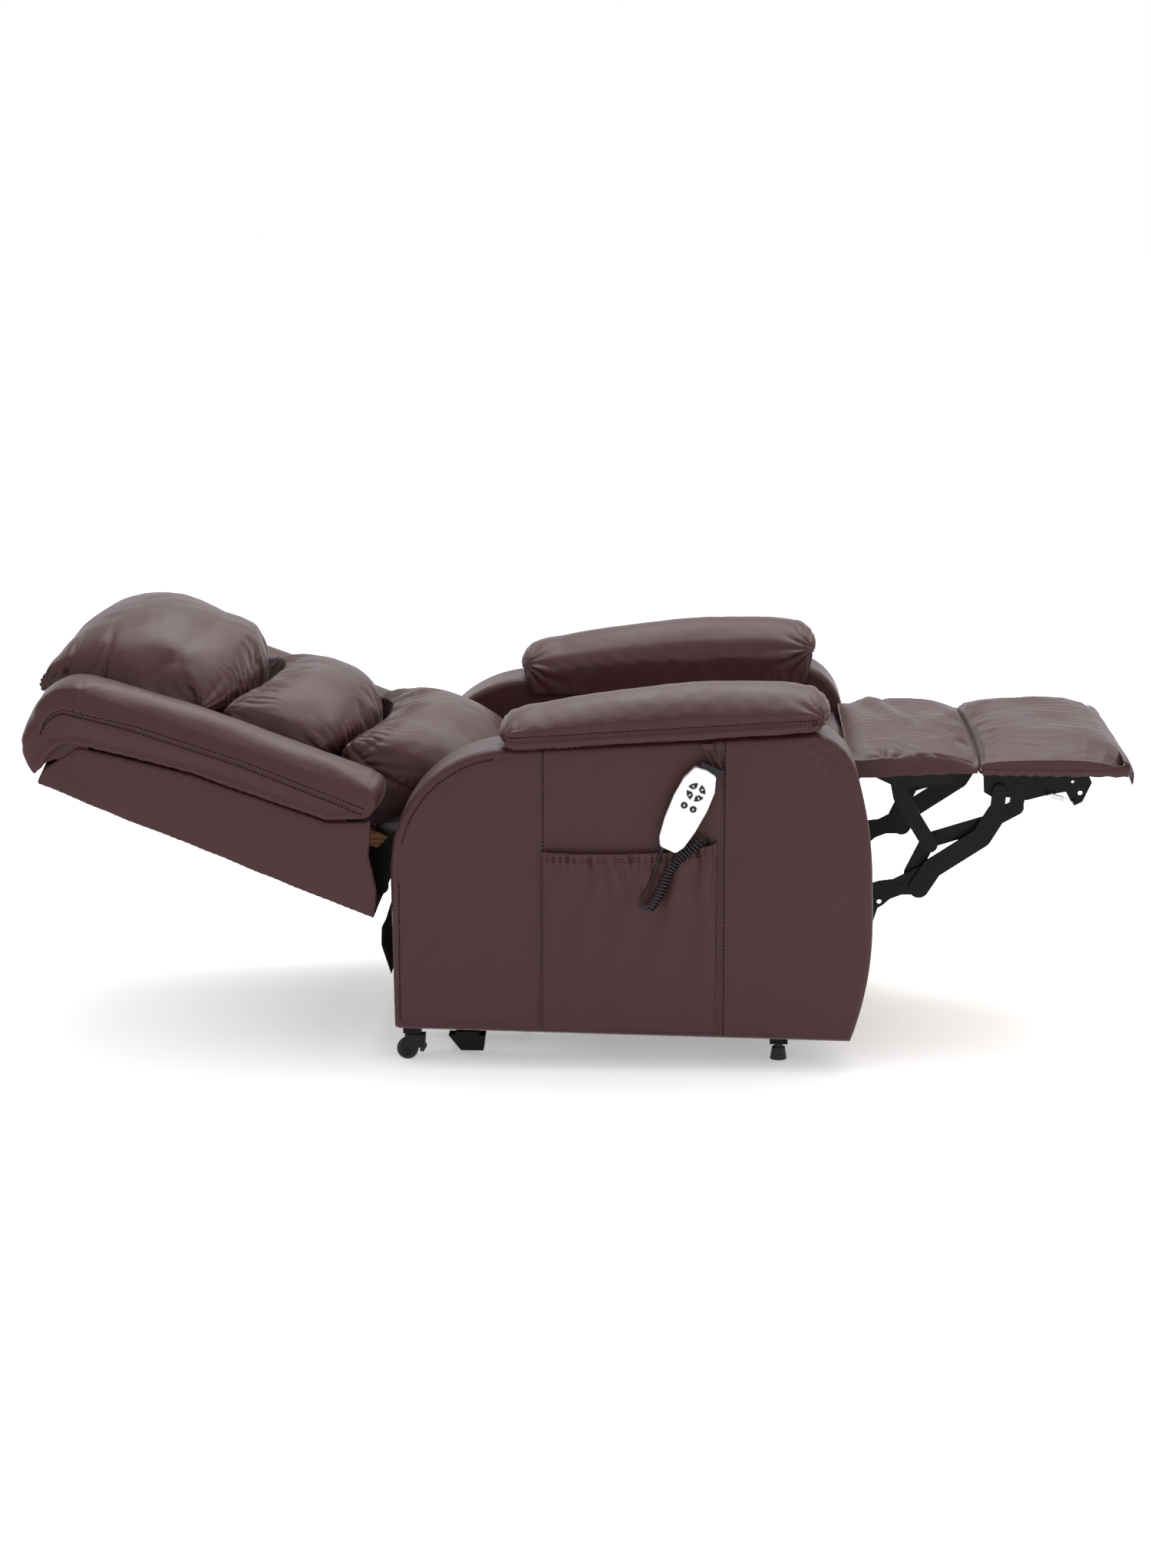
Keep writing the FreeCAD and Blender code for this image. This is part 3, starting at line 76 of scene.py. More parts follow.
# %% Camera
camera_place = Vector((0.1946, -5.4868, 1.5722))
camera_turn = math.radians(2.2)
camera_dip = math.radians(12.0)
camera_ray = Vector((-math.sin(camera_turn) * math.cos(camera_dip),
                     math.cos(camera_turn) * math.cos(camera_dip), -math.sin(camera_dip)))
camera_data = bpy.data.cameras.new("camera")
camera_data.sensor_width = 36.0
camera_data.lens = 73.48
camera = bpy.data.objects.new("camera", camera_data)
camera.location = camera_place
camera.rotation_euler = camera_ray.to_track_quat("-Z", "Y").to_euler()
scene.collection.objects.link(camera)
scene.camera = camera
scene.view_settings.view_transform = "Standard"
print("camera at", tuple(round(v, 3) for v in camera_place), "with a lens of", camera_data.lens, "mm")

# %% [markdown]
# ## Material tools
# A finish is a formula over the surface, such as 0.65 of a cloud plus 0.35 of creases. It could be
# wired up node by node, but then nobody can read it. So a `Field` wraps one socket, and plain
# arithmetic on it adds the math nodes. Numbers may stand on either side, as in 1 - mask.


# %% Field
class Field:
    """A value that varies over a surface. Sums, differences and products of fields add Math nodes."""

    def __init__(self, surface, socket):
        self.surface = surface
        self.socket = socket

    def maths(self, operation, first, second):
        """One Math node: the operation on two fields, or on a field and a number."""
        return self.surface.node("ShaderNodeMath", {"operation": operation}, {0: first, 1: second})

    def __add__(self, other):
        return self.maths("ADD", self, other)

    def __sub__(self, other):
        return self.maths("SUBTRACT", self, other)

    def __rsub__(self, other):
        return self.maths("SUBTRACT", other, self)

    def __mul__(self, other):
        return self.maths("MULTIPLY", self, other)

    __radd__ = __add__
    __rmul__ = __mul__

    def between(self, low, high, out_low=0.0, out_high=1.0):
        """The range low to high carried over to another range, and held at its ends."""
        return self.surface.node("ShaderNodeMapRange", {}, {
            "Value": self, "From Min": low, "From Max": high, "To Min": out_low, "To Max": out_high})

    def colours(self, *stops):
        """Colours by the field's value: each stop is a value and a colour."""
        return self.surface.node("ShaderNodeValToRGB", {"stops": stops}, {"Fac": self})


print("field:", [name for name in vars(Field) if not name.startswith("__")])


# %% [markdown]
# `Surface` is one material with its shader. Every other node comes from its method `node`, which
# takes the node's type, its settings, and the values or links of its sockets. The settings come
# first, because some of them change which sockets a node has. Patterns are laid out in the object's
# own coordinates, so a grain keeps its size on every piece, large or small.


# %% Surface
class Surface:
    """A material with one shader."""

    def __init__(self, name, **constants):
        self.material = bpy.data.materials.new(name)
        self.material.use_nodes = True
        self.tree = self.material.node_tree
        self.shader = self.tree.nodes["Principled BSDF"]
        for key, value in constants.items():
            self.shader.inputs[key.replace("_", " ")].default_value = value
        self.place = self.node("ShaderNodeTexCoord", out="Object")

    def node(self, kind, settings=None, sockets=None, out=0):
        """Any node, as the field of one of its outputs. Stops are the places and colours of a ramp."""
        made = self.tree.nodes.new(kind)
        for name, value in (settings or {}).items():
            if name == "stops":
                elements = made.color_ramp.elements
                while len(elements) < len(value):
                    elements.new(0.5)
                for element, (place, colour) in zip(elements, value):
                    element.position = place
                    element.color = (*colour, 1.0)
            else:
                setattr(made, name, value)
        for name, value in (sockets or {}).items():
            self.feed(made.inputs[name], value)
        return Field(self, made.outputs[out])

    def feed(self, place, value):
        """Links a field to a socket, or sets the socket's value."""
        if isinstance(value, Field):
            self.tree.links.new(value.socket, place)
        else:
            place.default_value = value

    def stretched(self, stretch):
        """The object's own coordinates, times a stretch along each axis."""
        return self.node("ShaderNodeMapping", {}, {"Vector": self.place, "Scale": stretch})

    def wear(self, base, rough, height, depth=0.2, strength=0.6):
        """Gives the shader its colour, roughness and a height, whose full range is depth millimetres."""
        self.feed(self.shader.inputs["Base Color"], base)
        self.feed(self.shader.inputs["Roughness"], rough)
        bump = self.node("ShaderNodeBump", {}, {"Strength": strength, "Distance": depth * metres,
                                                "Height": height}, "Normal")
        self.feed(self.shader.inputs["Normal"], bump)
        return self.material


print("surface:", [name for name in vars(Surface) if not name.startswith("__")])

# %% [markdown]
# Three patterns are enough for this chair. Noise makes clouds and creases, cells make the pebbles of
# a grain, and bands make wood grain and threads. A size is the length of one blot, pebble or band,
# and a stretch below one draws the pattern out along that axis.

# %% Patterns
even = (1.0, 1.0, 1.0)
per_metre = 1000.0
waves_per_band = 3.2


def noise(made, size, detail=2.0, warp=0.0, stretch=even, rough=0.5):
    """Clouds or creases between 0 and 1: noise with blots of the given size, and finer ones in them."""
    return made.node("ShaderNodeTexNoise", {}, {
        "Vector": made.stretched(stretch), "Scale": per_metre / size, "Detail": detail,
        "Roughness": rough, "Distortion": warp}, "Fac")


def cells(made, size):
    """Pebbles: the distance from the nearest of many scattered points, which are a size apart."""
    return made.node("ShaderNodeTexVoronoi", {"feature": "F1"}, {
        "Vector": made.stretched(even), "Scale": per_metre / size}, "Distance")


def bands(made, size, warp, stretch=even, axis="X"):
    """Wavy bands square to an axis: a sine wave with one crest for each size, bent by the warp."""
    return made.node("ShaderNodeTexWave", {"bands_direction": axis}, {
        "Vector": made.stretched(stretch), "Scale": per_metre / size / waves_per_band,
        "Distortion": warp, "Detail": 2.0}, "Fac")


def shade(colour, factor):
    """A colour made darker or lighter: each of its parts times the factor."""
    return tuple(c * factor for c in colour)


print("patterns: noise, cells, bands")

# %% [markdown]
# ## Leather
# The chair is covered in burgundy bonded leather: a coated hide with a pebbled grain, fine creases
# in all directions, and worn, slightly paler highs. A scanned leather would tile and repeat. Here
# the colour follows clouds and creases, the height follows creases and pebbles, and a faint sheen
# gives the pale rim that leather has where it is seen at a slant.


# %% Leather
def leather(name, colour, grain=1.3):
    """Colour by 0.65 cloud + 0.35 crease, height by crease + 0.35 pebble."""
    made = Surface(name, Coat_Weight=0.02, Coat_Roughness=0.4, Specular_IOR_Level=0.27,
                   Sheen_Weight=0.07, Sheen_Roughness=0.35)
    cloud = noise(made, 90.0, 3.0, 0.4)
    crease = noise(made, 14.0, 5.0, 1.6, (1.0, 0.6, 1.0), 0.62)
    pebble = cells(made, grain)
    tone = cloud * 0.65 + crease * 0.35
    base = tone.colours((0.25, shade(colour, 0.86)), (0.52, colour), (0.8, shade(colour, 1.17)))
    rough = (cloud * 0.6 + crease * 0.4).between(0.3, 0.7, 0.37, 0.48)
    return made.wear(base, rough, crease + pebble * 0.35, 0.35, 0.55)


burgundy = (0.0430, 0.0112, 0.0145)
finishes = {"burgundy_leather": leather("burgundy_leather", burgundy)}
print("leather:", len(finishes["burgundy_leather"].node_tree.nodes), "nodes")

# %% [markdown]
# ## Steel
# The legrest's links, the base and the castors are powder coated: black, dull, and faintly orange
# peeled. Springs and actuator rods are bare metal. A mirror would look like chrome, so fine lines
# lie across their shine, and clouds change it slowly.


# %% Steel
def painted(name, colour, rough_low, rough_high):
    """Colour by cloud, roughness by half cloud and half speck, height by speck."""
    made = Surface(name, Specular_IOR_Level=0.13)
    speck = noise(made, 3.0)
    cloud = noise(made, 60.0)
    base = cloud.colours((0.3, shade(colour, 0.8)), (0.7, shade(colour, 1.25)))
    rough = (cloud * 0.5 + speck * 0.5).between(0.3, 0.7, rough_low, rough_high)
    return made.wear(base, rough, speck, 0.08, 0.5)


def steel(name, colour, rough_low, rough_high):
    """Colour by half lines and half cloud, roughness by 0.6 lines + 0.4 cloud, height by lines."""
    made = Surface(name, Metallic=1.0)
    lines = noise(made, 1.2, stretch=(0.15, 1.0, 1.0))
    cloud = noise(made, 25.0)
    base = (lines * 0.5 + cloud * 0.5).colours((0.3, shade(colour, 0.75)), (0.7, shade(colour, 1.2)))
    rough = (lines * 0.6 + cloud * 0.4).between(0.3, 0.7, rough_low, rough_high)
    return made.wear(base, rough, lines, 0.03, 0.5)


finishes["black_steel"] = painted("black_steel", (0.0036, 0.0031, 0.0029), 0.3, 0.44)
finishes["castor_steel"] = painted("castor_steel", (0.014, 0.014, 0.015), 0.3, 0.45)
finishes["spring_steel"] = steel("spring_steel", (0.5, 0.5, 0.52), 0.25, 0.4)
finishes["rod_steel"] = steel("rod_steel", (0.55, 0.55, 0.56), 0.18, 0.3)
print("steel: painted and bare,", len(finishes), "finishes so far")

# %% [markdown]
# ## Wood
# The boards inside the arms, the back and the legrest are birch plywood, which shows at a few edges.
# Its grain is long and wavy. Straight stripes would look printed, so the bands are warped, drawn out
# along the board, and mixed with darker flecks.


# %% Wood
def wooden(name, colour):
    """Colour and height by 0.55 grain + 0.45 fleck, roughness by fleck."""
    made = Surface(name)
    grain = bands(made, 9.0, 5.0, (0.12, 1.0, 1.0), "Z")
    fleck = noise(made, 6.0, 4.0, 0.5, (0.1, 1.0, 1.0))
    tone = grain * 0.55 + fleck * 0.45
    base = tone.colours((0.2, shade(colour, 0.55)), (0.5, colour), (0.85, shade(colour, 1.3)))
    return made.wear(base, fleck.between(0.3, 0.7, 0.55, 0.72), tone, 0.15, 0.5)


finishes["plywood"] = wooden("plywood", (0.36, 0.16, 0.06))
print("wood: plywood")

# %% [markdown]
# ## Plastic, rubber and cloth
# The handset is white moulded plastic, its keys and the motor cases are black, and the tyres and
# the cord are rubber. All of them come from a mould, so one recipe serves with other numbers: slow
# clouds in the colour and a fine spark in the height. The thread and the lining are woven. A weave
# is two sets of bands that cross, and their product is high only where two threads meet.


# %% Plastic, rubber and cloth
def moulded(name, colour, rough_low, rough_high, depth=0.05, gloss=0.3):
    """Colour by cloud, roughness by 0.6 cloud + 0.4 spark, height by spark."""
    made = Surface(name, Specular_IOR_Level=gloss)
    spark = noise(made, 0.9)
    cloud = noise(made, 45.0)
    base = cloud.colours((0.3, shade(colour, 0.93)), (0.7, shade(colour, 1.05)))
    rough = (cloud * 0.6 + spark * 0.4).between(0.3, 0.7, rough_low, rough_high)
    return made.wear(base, rough, spark, depth, 0.5)


def woven(name, colour):
    """Colour and height by the product of two crossed sets of bands."""
    made = Surface(name, Specular_IOR_Level=0.2)
    weave = bands(made, 1.6, 0.3, axis="Y") * bands(made, 1.6, 0.3, axis="Z")
    base = weave.colours((0.0, shade(colour, 0.6)), (1.0, shade(colour, 1.5)))
    return made.wear(base, noise(made, 20.0).between(0.3, 0.7, 0.8, 0.95), weave, 0.3, 0.7)


finishes["castor_tyre"] = moulded("castor_tyre", (0.02, 0.02, 0.021), 0.6, 0.8, 0.1)
finishes["brake_plastic"] = moulded("brake_plastic", (0.018, 0.018, 0.019), 0.45, 0.6)
finishes["black_plastic"] = moulded("black_plastic", (0.018, 0.018, 0.019), 0.45, 0.62, 0.1)
finishes["white_plastic"] = moulded("white_plastic", (0.84, 0.84, 0.83), 0.3, 0.42, 0.02)
finishes["key_plastic"] = moulded("key_plastic", (0.006, 0.006, 0.007), 0.3, 0.45)
finishes["cord_rubber"] = moulded("cord_rubber", (0.003, 0.003, 0.0035), 0.2, 0.3, 0.05, 0.4)
finishes["lining_cloth"] = woven("lining_cloth", (0.008, 0.008, 0.008))
thread_finish = woven("seam_thread", (0.006, 0.003, 0.0035))
print_finish = moulded("printed_mark", (0.8, 0.8, 0.79), 0.4, 0.5, 0.01)
print("finishes:", sorted(finishes))

# %% [markdown]
# Each CAD node names the finish that it has in the packed record, so the record decides and no list
# of nodes has to be kept here.

# %% Finishes on the frame
for part in frame["record"]["subparts"]:
    for place in nodes[part["node"]].material_slots:
        place.material = finishes[part["material_slot"]]

# %% [markdown]
# ## Mesh tools
# A mesh holds its points as one flat list. Moving them one by one in Python is slow, so they are
# read and written as whole arrays, in millimetres here and in metres in the mesh.


# %% Points of a mesh
def get_points(mesh):
    """The mesh's points in millimetres, a row of X, Y and Z for each."""
    flat = np.empty(len(mesh.vertices) * 3, np.float32)
    mesh.vertices.foreach_get("co", flat)
    return flat.reshape(-1, 3).astype(float) / metres


def set_points(mesh, points):
    """Moves the mesh's points to these rows, given in millimetres."""
    mesh.vertices.foreach_set("co", (points * metres).astype(np.float32).ravel())
    mesh.update()


def get_normals(mesh):
    """The direction that the surface faces at each point, a row of length one for each."""
    flat = np.empty(len(mesh.vertices) * 3, np.float32)
    mesh.vertices.foreach_get("normal", flat)
    return flat.reshape(-1, 3).astype(float)


def unit(direction):
    """A direction of length one, or many of them in the rows of an array."""
    direction = np.array(direction, float)
    return direction / np.linalg.norm(direction, axis=-1, keepdims=True)


print("points of the handset's front:", len(get_points(nodes["handset_front"].data)))

# %% [markdown]
# Every new piece lies at the origin, with its place in its points, as the CAD nodes have it. Then a
# pattern on object coordinates stays where it is. Modifiers may finish a piece, and they are worked
# into its mesh at once, so that the next step can read the points that it left.


# %% New pieces
def smooth(piece):
    """The piece with all its faces shaded smooth."""
    piece.data.polygons.foreach_set("use_smooth", [True] * len(piece.data.polygons))
    piece.data.update()
    return piece


def new_piece(name, points, faces, finish):
    """A new object at the origin, from points in millimetres and faces as lists of point numbers."""
    mesh = bpy.data.meshes.new(name)
    mesh.from_pydata((np.asarray(points) * metres).tolist(), [], [list(map(int, f)) for f in faces])
    mesh.update()
    mesh.materials.append(finish)
    piece = bpy.data.objects.new(name, mesh)
    scene.collection.objects.link(piece)
    return smooth(piece)


def applied(piece):
    """The piece with its modifiers worked into its mesh."""
    graph = bpy.context.evaluated_depsgraph_get()
    mesh = bpy.data.meshes.new_from_object(piece.evaluated_get(graph))
    piece.modifiers.clear()
    piece.data = mesh
    return smooth(piece)


def welded(piece, distance):
    """The piece with points joined that are closer than the distance, once it is applied."""
    weld = piece.modifiers.new("weld", "WELD")
    weld.merge_threshold = distance * metres
    return piece


print("one unit of a new piece's points is", metres, "m")

# %% [markdown]
# Most new pieces are grids of points. A grid of rows and columns needs one quad between every four
# neighbours, and the list of those quads is arithmetic on row and column numbers. A sheet of leather
# is such a grid with a thickness.


# %% Grids and sheets
def grid_faces(rows, columns, closed=False):
    """Quads between neighbouring rows and columns; closed joins the last column to the first."""
    count = columns if closed else columns - 1
    r, c = np.meshgrid(np.arange(rows - 1), np.arange(count), indexing="ij")
    d = (c + 1) % columns
    quads = np.stack([r * columns + c, r * columns + d, (r + 1) * columns + d, (r + 1) * columns + c], -1)
    return quads.reshape(-1, 4)


def sheet_piece(name, grid, finish, thick, offset=0.0):
    """A sheet from a grid of points, rows by columns by three, thickened about it."""
    rows, columns = grid.shape[:2]
    piece = new_piece(name, grid.reshape(-1, 3), grid_faces(rows, columns), finish)
    skin = piece.modifiers.new("thickness", "SOLIDIFY")
    skin.thickness = thick * metres
    skin.offset = offset
    return applied(piece)


print("a grid of 3 by 4 points has", len(grid_faces(3, 4)), "quads")

# %% [markdown]
# A pad starts from its CAD solid. That mesh is loose triangles of all sizes, which fold badly, so a
# copy is joined up and remeshed into even cells, shaped, and then made finer once. The chair is the
# same on both sides, so a far piece is the near one's mirror image, turned right side out again.


# %% Copies of nodes
def node_copy(node, name, finish):
    """A node's mesh as a new piece, its split points joined again."""
    mesh = nodes[node].data.copy()
    shell = bmesh.new()
    shell.from_mesh(mesh)
    bmesh.ops.remove_doubles(shell, verts=shell.verts, dist=1e-5)
    shell.to_mesh(mesh)
    shell.free()
    mesh.materials.clear()
    mesh.materials.append(finish)
    piece = bpy.data.objects.new(name, mesh)
    scene.collection.objects.link(piece)
    return piece


def remeshed(piece, voxel):
    """The piece with its surface laid out anew in even cells, as large as the voxel."""
    remesh = piece.modifiers.new("even", "REMESH")
    remesh.mode = "VOXEL"
    remesh.voxel_size = voxel * metres
    return applied(piece)


def finer(piece):
    """The piece with each face divided into four, and rounded between its points."""
    more = piece.modifiers.new("finer", "SUBSURF")
    more.levels = more.render_levels = 1
    return applied(piece)


def other_side(piece, name):
    """The piece's mirror image on the other side of the chair."""
    mesh = piece.data.copy()
    points = get_points(mesh)
    points[:, 1] *= -1
    set_points(mesh, points)
    mesh.flip_normals()
    twin = bpy.data.objects.new(name, mesh)
    scene.collection.objects.link(twin)
    return twin


print("pads are made finer once, levels and render levels alike")

# %% [markdown]
# Each finished piece is parented to the body of the mechanism that carries it, and the CAD node that
# it stands for is hidden. A piece could be parented by hand, but one call does both and prints the
# piece's count of faces.


# %% Fastening
def surface_tree(piece):
    """A tree of the piece's faces, to find the nearest place on them."""
    mesh = piece.data
    return BVHTree.FromPolygons([v.co for v in mesh.vertices], [p.vertices[:] for p in mesh.polygons])


def worn(piece, body, node):
    """Fastens a finished piece to its body, hides the node that it stands for, and prints its faces."""
    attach(piece, body)
    if node:
        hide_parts(node)
    print(piece.name, "on", body, "with", len(piece.data.polygons), "faces")
    return piece


# %% [markdown]
# ## Folds
# Leather lies in folds where it is gathered into a seam. They could be sculpted by hand, but then no
# number says where they are. Here each kind of fold is a height in millimetres for every point, to
# be added along the normals. Chance waves and ridges come first, and the others are made of them.


# %% Waves and ridges
chance_waves = 7
usual_sum = 2.65
ridge_mean = 1.27


def murmur(points, size, seed):
    """Smooth chance height, about -1 to 1: seven sine waves in chance directions, each near the given
    length, added up and divided by the square root of seven."""
    dice = np.random.default_rng(seed)
    total = np.zeros(len(points))
    for _ in range(chance_waves):
        way = unit(dice.normal(size=3))
        length = size * dice.uniform(0.7, 1.5)
        total += np.sin(points @ way * (2 * np.pi / length) + dice.uniform(0, 2 * np.pi))
    return total / usual_sum


def ridges(phase):
    """Round ridges with sharp valleys: twice the size of a half-rate sine, less its mean."""
    return 2 * np.abs(np.sin(phase / 2)) - ridge_mean


def bell(away, half):
    """One at no distance and gone at about twice the half width: e to the power of minus its square."""
    return np.exp(-(away / half) ** 2)


def groove(away, half, depth):
    """A seam's valley: a bell curve of the distance from it."""
    return -depth * bell(away, half)


def within(value, start, run):
    """A share that climbs from 0 at the start to 1 after the run, and is held outside."""
    return np.clip((value - start) / run, 0, 1)


print("ridges range from", round(float(ridges(0.0)), 2), "to", round(float(ridges(math.pi)), 2))

# %% [markdown]
# A fan is what a pinched corner shows: folds that spread from one point. Gathers are what a long
# seam shows when more leather is sewn into it than it needs: folds square to it, of uneven strength.


# %% Fans and gathers
def fan(points, centre, first, second, count, reach, depth, seed=1):
    """Ridges in the angle about the pinch, bent by a chance wave. A bell curve of the distance lets
    them fade past their reach, and a short ramp lets them start from nothing at the pinch."""
    away = points - np.array(centre, float)
    far = np.linalg.norm(away, axis=1)
    angle = np.arctan2(away @ unit(first), away @ unit(second))
    fade = bell(far, reach) * np.clip(far / (0.22 * reach), 0, 1)
    return depth * fade * ridges(angle * count + 0.7 * murmur(points, reach, seed))


def gathers(along, away, pitch, reach, depth, points, seed=1):
    """Ridges along the seam, each a pitch wide, wandering and of chance strength. A bell curve of the
    distance from the seam lets them fade."""
    strength = np.clip(0.55 + 0.6 * murmur(points, 6 * pitch, seed), 0.05, 1.3)
    wander = 2.4 * murmur(points, 4.3 * pitch, seed + 1)
    return depth * strength * bell(away, reach) * ridges(2 * np.pi * along / pitch + wander)


def path_distance(a, b, path):
    """Distance of places (a, b) from a path: the least over its straight runs, each measured to the
    run's nearest point."""
    best = np.full(np.shape(a), 1e9)
    for start, end in zip(path[:-1], path[1:]):
        run = end - start
        span = run @ run
        if span > 1e-9:
            t = np.clip(((a - start[0]) * run[0] + (b - start[1]) * run[1]) / span, 0, 1)
            best = np.minimum(best, np.hypot(a - start[0] - t * run[0], b - start[1] - t * run[1]))
    return best


def raised(piece, height):
    """Moves each point of the piece along its normal."""
    points = get_points(piece.data)
    set_points(piece.data, points + get_normals(piece.data) * np.asarray(height)[:, None])
    return piece


print("folds: fan, gathers, groove")

# %% [markdown]
# ## Stuffing
# A back cushion is a leather case full of fibre, so its faces belly out and its edges draw in. A
# formula gives too even a belly. Cloth with air pressure inside finds the shape that a real case
# finds. There is no gravity in it, because a stuffed case hardly sags, and its rear face is held,
# because it rests on the back.

# %% Cloth under pressure
cloth_moments = 20
cloth_settings = {"quality": 4, "mass": 0.25, "tension_stiffness": 12.0, "compression_stiffness": 12.0,
                  "shear_stiffness": 4.0, "bending_stiffness": 0.4, "use_pressure": True,
                  "uniform_pressure_force": 4.0}


def blown_up(piece, held):
    """Where the piece's points come to lie as cloth under pressure, with the held points fixed."""
    piece.vertex_groups.new(name="held").add([int(i) for i in np.nonzero(held)[0]], 1.0, "REPLACE")
    cloth = piece.modifiers.new("cloth", "CLOTH")
    for name, value in cloth_settings.items():
        setattr(cloth.settings, name, value)
    cloth.settings.effector_weights.gravity = 0.0
    cloth.collision_settings.use_collision = False
    cloth.settings.vertex_group_mass = "held"
    for moment in range(1, cloth_moments + 1):
        scene.frame_set(moment)
    graph = bpy.context.evaluated_depsgraph_get()
    blown = get_points(piece.evaluated_get(graph).data)
    piece.modifiers.clear()
    piece.vertex_groups.clear()
    scene.frame_set(1)
    return blown


print("cloth:", cloth_moments, "moments for each cushion")

# %% [markdown]
# A cushion swells, so it starts a little drawn in. Afterwards no point may have moved too far, or
# stand proud of its CAD solid by more than a few millimetres, so that neighbours don't cut into
# each other.

# %% Cushion tool
furthest_move = 24.0
furthest_proud = 4.0
ease_rounds = 3


def kept_inside(piece, solid, proud):
    """Pulls points back that stand further out of the CAD solid than a margin: to the nearest place on
    the solid plus its normal times the margin."""
    points = get_points(piece.data)
    found = [solid.find_nearest(Vector(spot))[:2] for spot in points * metres]
    near = np.array([place for place, normal in found]) / metres
    normal = np.array([normal for place, normal in found])
    out = ((points - near) * normal).sum(axis=1)
    far_out = (out > proud)[:, None]
    set_points(piece.data, np.where(far_out, near + normal * proud, points))
    return piece


def stuffed(node, name, pinned, voxel=6.5, inset=5.0):
    """A cushion: its CAD solid remeshed evenly, drawn in, blown up as cloth, eased and made finer."""
    piece = node_copy(node, name, finishes["burgundy_leather"])
    solid = surface_tree(piece)
    remeshed(piece, voxel)
    start = get_points(piece.data)
    base = pinned(start)
    free = (~base)[:, None]
    start = start - get_normals(piece.data) * inset * free
    set_points(piece.data, start)
    move = blown_up(piece, base) - start
    far = np.linalg.norm(move, axis=1)
    move *= np.minimum(1.0, furthest_move / np.maximum(far, 1e-6))[:, None]
    print(name, "swelled by", round(float(far.mean()), 1), "mm on average")
    set_points(piece.data, start + move)
    kept_inside(piece, solid, furthest_proud)
    ease = piece.modifiers.new("ease", "SMOOTH")
    ease.iterations = ease_rounds
    return finer(piece)


print("cushions stand at most", furthest_proud, "mm proud of their solids")

# %% [markdown]
# ## Stitches
# The seams are sewn with dark thread that dips in and out, so it shows as a row of dashes. A drawn
# line would be flat, so each dash here is a small blunt tube. Its place comes from marks at equal
# steps along the seam's line, moved to the nearest place on the leather.


# %% Marks on a surface
def spaced(line, step):
    """Points at equal steps along a line of points."""
    line = np.asarray(line, float)
    runs = np.concatenate([[0.0], np.cumsum(np.linalg.norm(np.diff(line, axis=0), axis=1))])
    marks = np.arange(0.0, runs[-1], step)
    return np.stack([np.interp(marks, runs, line[:, k]) for k in range(3)], -1)


def snapped(marks, tree):
    """The nearest points of a surface and their normals."""
    found = [tree.find_nearest(Vector(mark))[:2] for mark in marks * metres]
    return np.array([place for place, normal in found]) / metres, np.array([normal for place, normal in found])


print("marks on 10 mm of seam:", len(spaced([(0.0, 0.0, 0.0), (10.0, 0.0, 0.0)], 1.0)))

# %% [markdown]
# A dash has four rings of six points along its run, small at both ends where the thread dips into
# the leather. Both ends are snapped, so a row follows every fold. All dashes of a row are worked out
# together, as one array of dashes, rings and points.

# %% Stitch tool
dash_shares = np.array([0.0, 0.22, 0.78, 1.0])
dash_sizes = np.array([0.35, 1.0, 1.0, 0.35])
dash_sides = 6
dash_lift = 0.25
shortest, longest = 0.4, 2.5


def stitch_row(name, host, lines, body, long=5.2, pause=1.2, wide=2.1, sunk=0.1):
    """Thread dashes along each line: four rings of six points from end to end, small at both ends.
    A dash is left out where its ends snapped together or far apart."""
    tree = surface_tree(host)
    starts, ends = [], []
    for line in lines:
        marks = spaced(line, 1.0)
        stops = np.arange(0, len(marks) - int(long) - 1, long + pause)
        starts.append(marks[stops.astype(int)])
        ends.append(marks[(stops + long).astype(int)])
    first, first_up = snapped(np.vstack(starts), tree)
    last, last_up = snapped(np.vstack(ends), tree)
    run = last - first
    length = np.linalg.norm(run, axis=1)
    good = (length >= shortest * long) & (length <= longest * long)
    first, run, up = first[good], run[good], (first_up + last_up)[good]
    up = up / np.linalg.norm(up, axis=1)[:, None]
    side = np.cross(run, up)
    side = side / np.linalg.norm(side, axis=1)[:, None]
    angle = 2 * np.pi * np.arange(dash_sides) / dash_sides
    middle = (first[:, None] + run[:, None] * dash_shares[None, :, None]
              + up[:, None] * (dash_lift * dash_sizes - sunk)[None, :, None])
    swing = (side[:, None] * np.cos(angle)[None, :, None] + up[:, None] * np.sin(angle)[None, :, None]) * wide / 2
    points = middle[:, :, None] + swing[:, None] * dash_sizes[None, :, None, None]
    base = np.arange(len(points))[:, None, None] * 4 * dash_sides
    walls = (base + grid_faces(4, dash_sides, True)[None]).reshape(-1, 4).tolist()
    caps = (base + np.array([[5, 4, 3, 2, 1, 0], [18, 19, 20, 21, 22, 23]])[None]).reshape(-1, 6).tolist()
    row = new_piece(name, points.reshape(-1, 3), walls + caps, thread_finish)
    return worn(row, body, None)


print("a dash has", 3 * dash_sides + 2, "faces")

# %% [markdown]
# ## Handset cord
# The handset hangs on the pocket, leaning by 25 degrees, and its cord starts at its foot. The place
# of that foot could be read off the chair in X and Z, but it is simpler in the handset's own frame,
# across and up, and then it stays right if the lean changes.

# %% Handset place
handset_x, handset_z = 150.0, 385.0
handset_lean = math.radians(25.0)
sideways = np.array([0.0, 1.0, 0.0])


def held_place(across, up):
    """Handset frame to chair frame, as X and Z: turned by the handset's lean about its middle."""
    return (handset_x + across * math.cos(handset_lean) + up * math.sin(handset_lean),
            handset_z - across * math.sin(handset_lean) + up * math.cos(handset_lean))


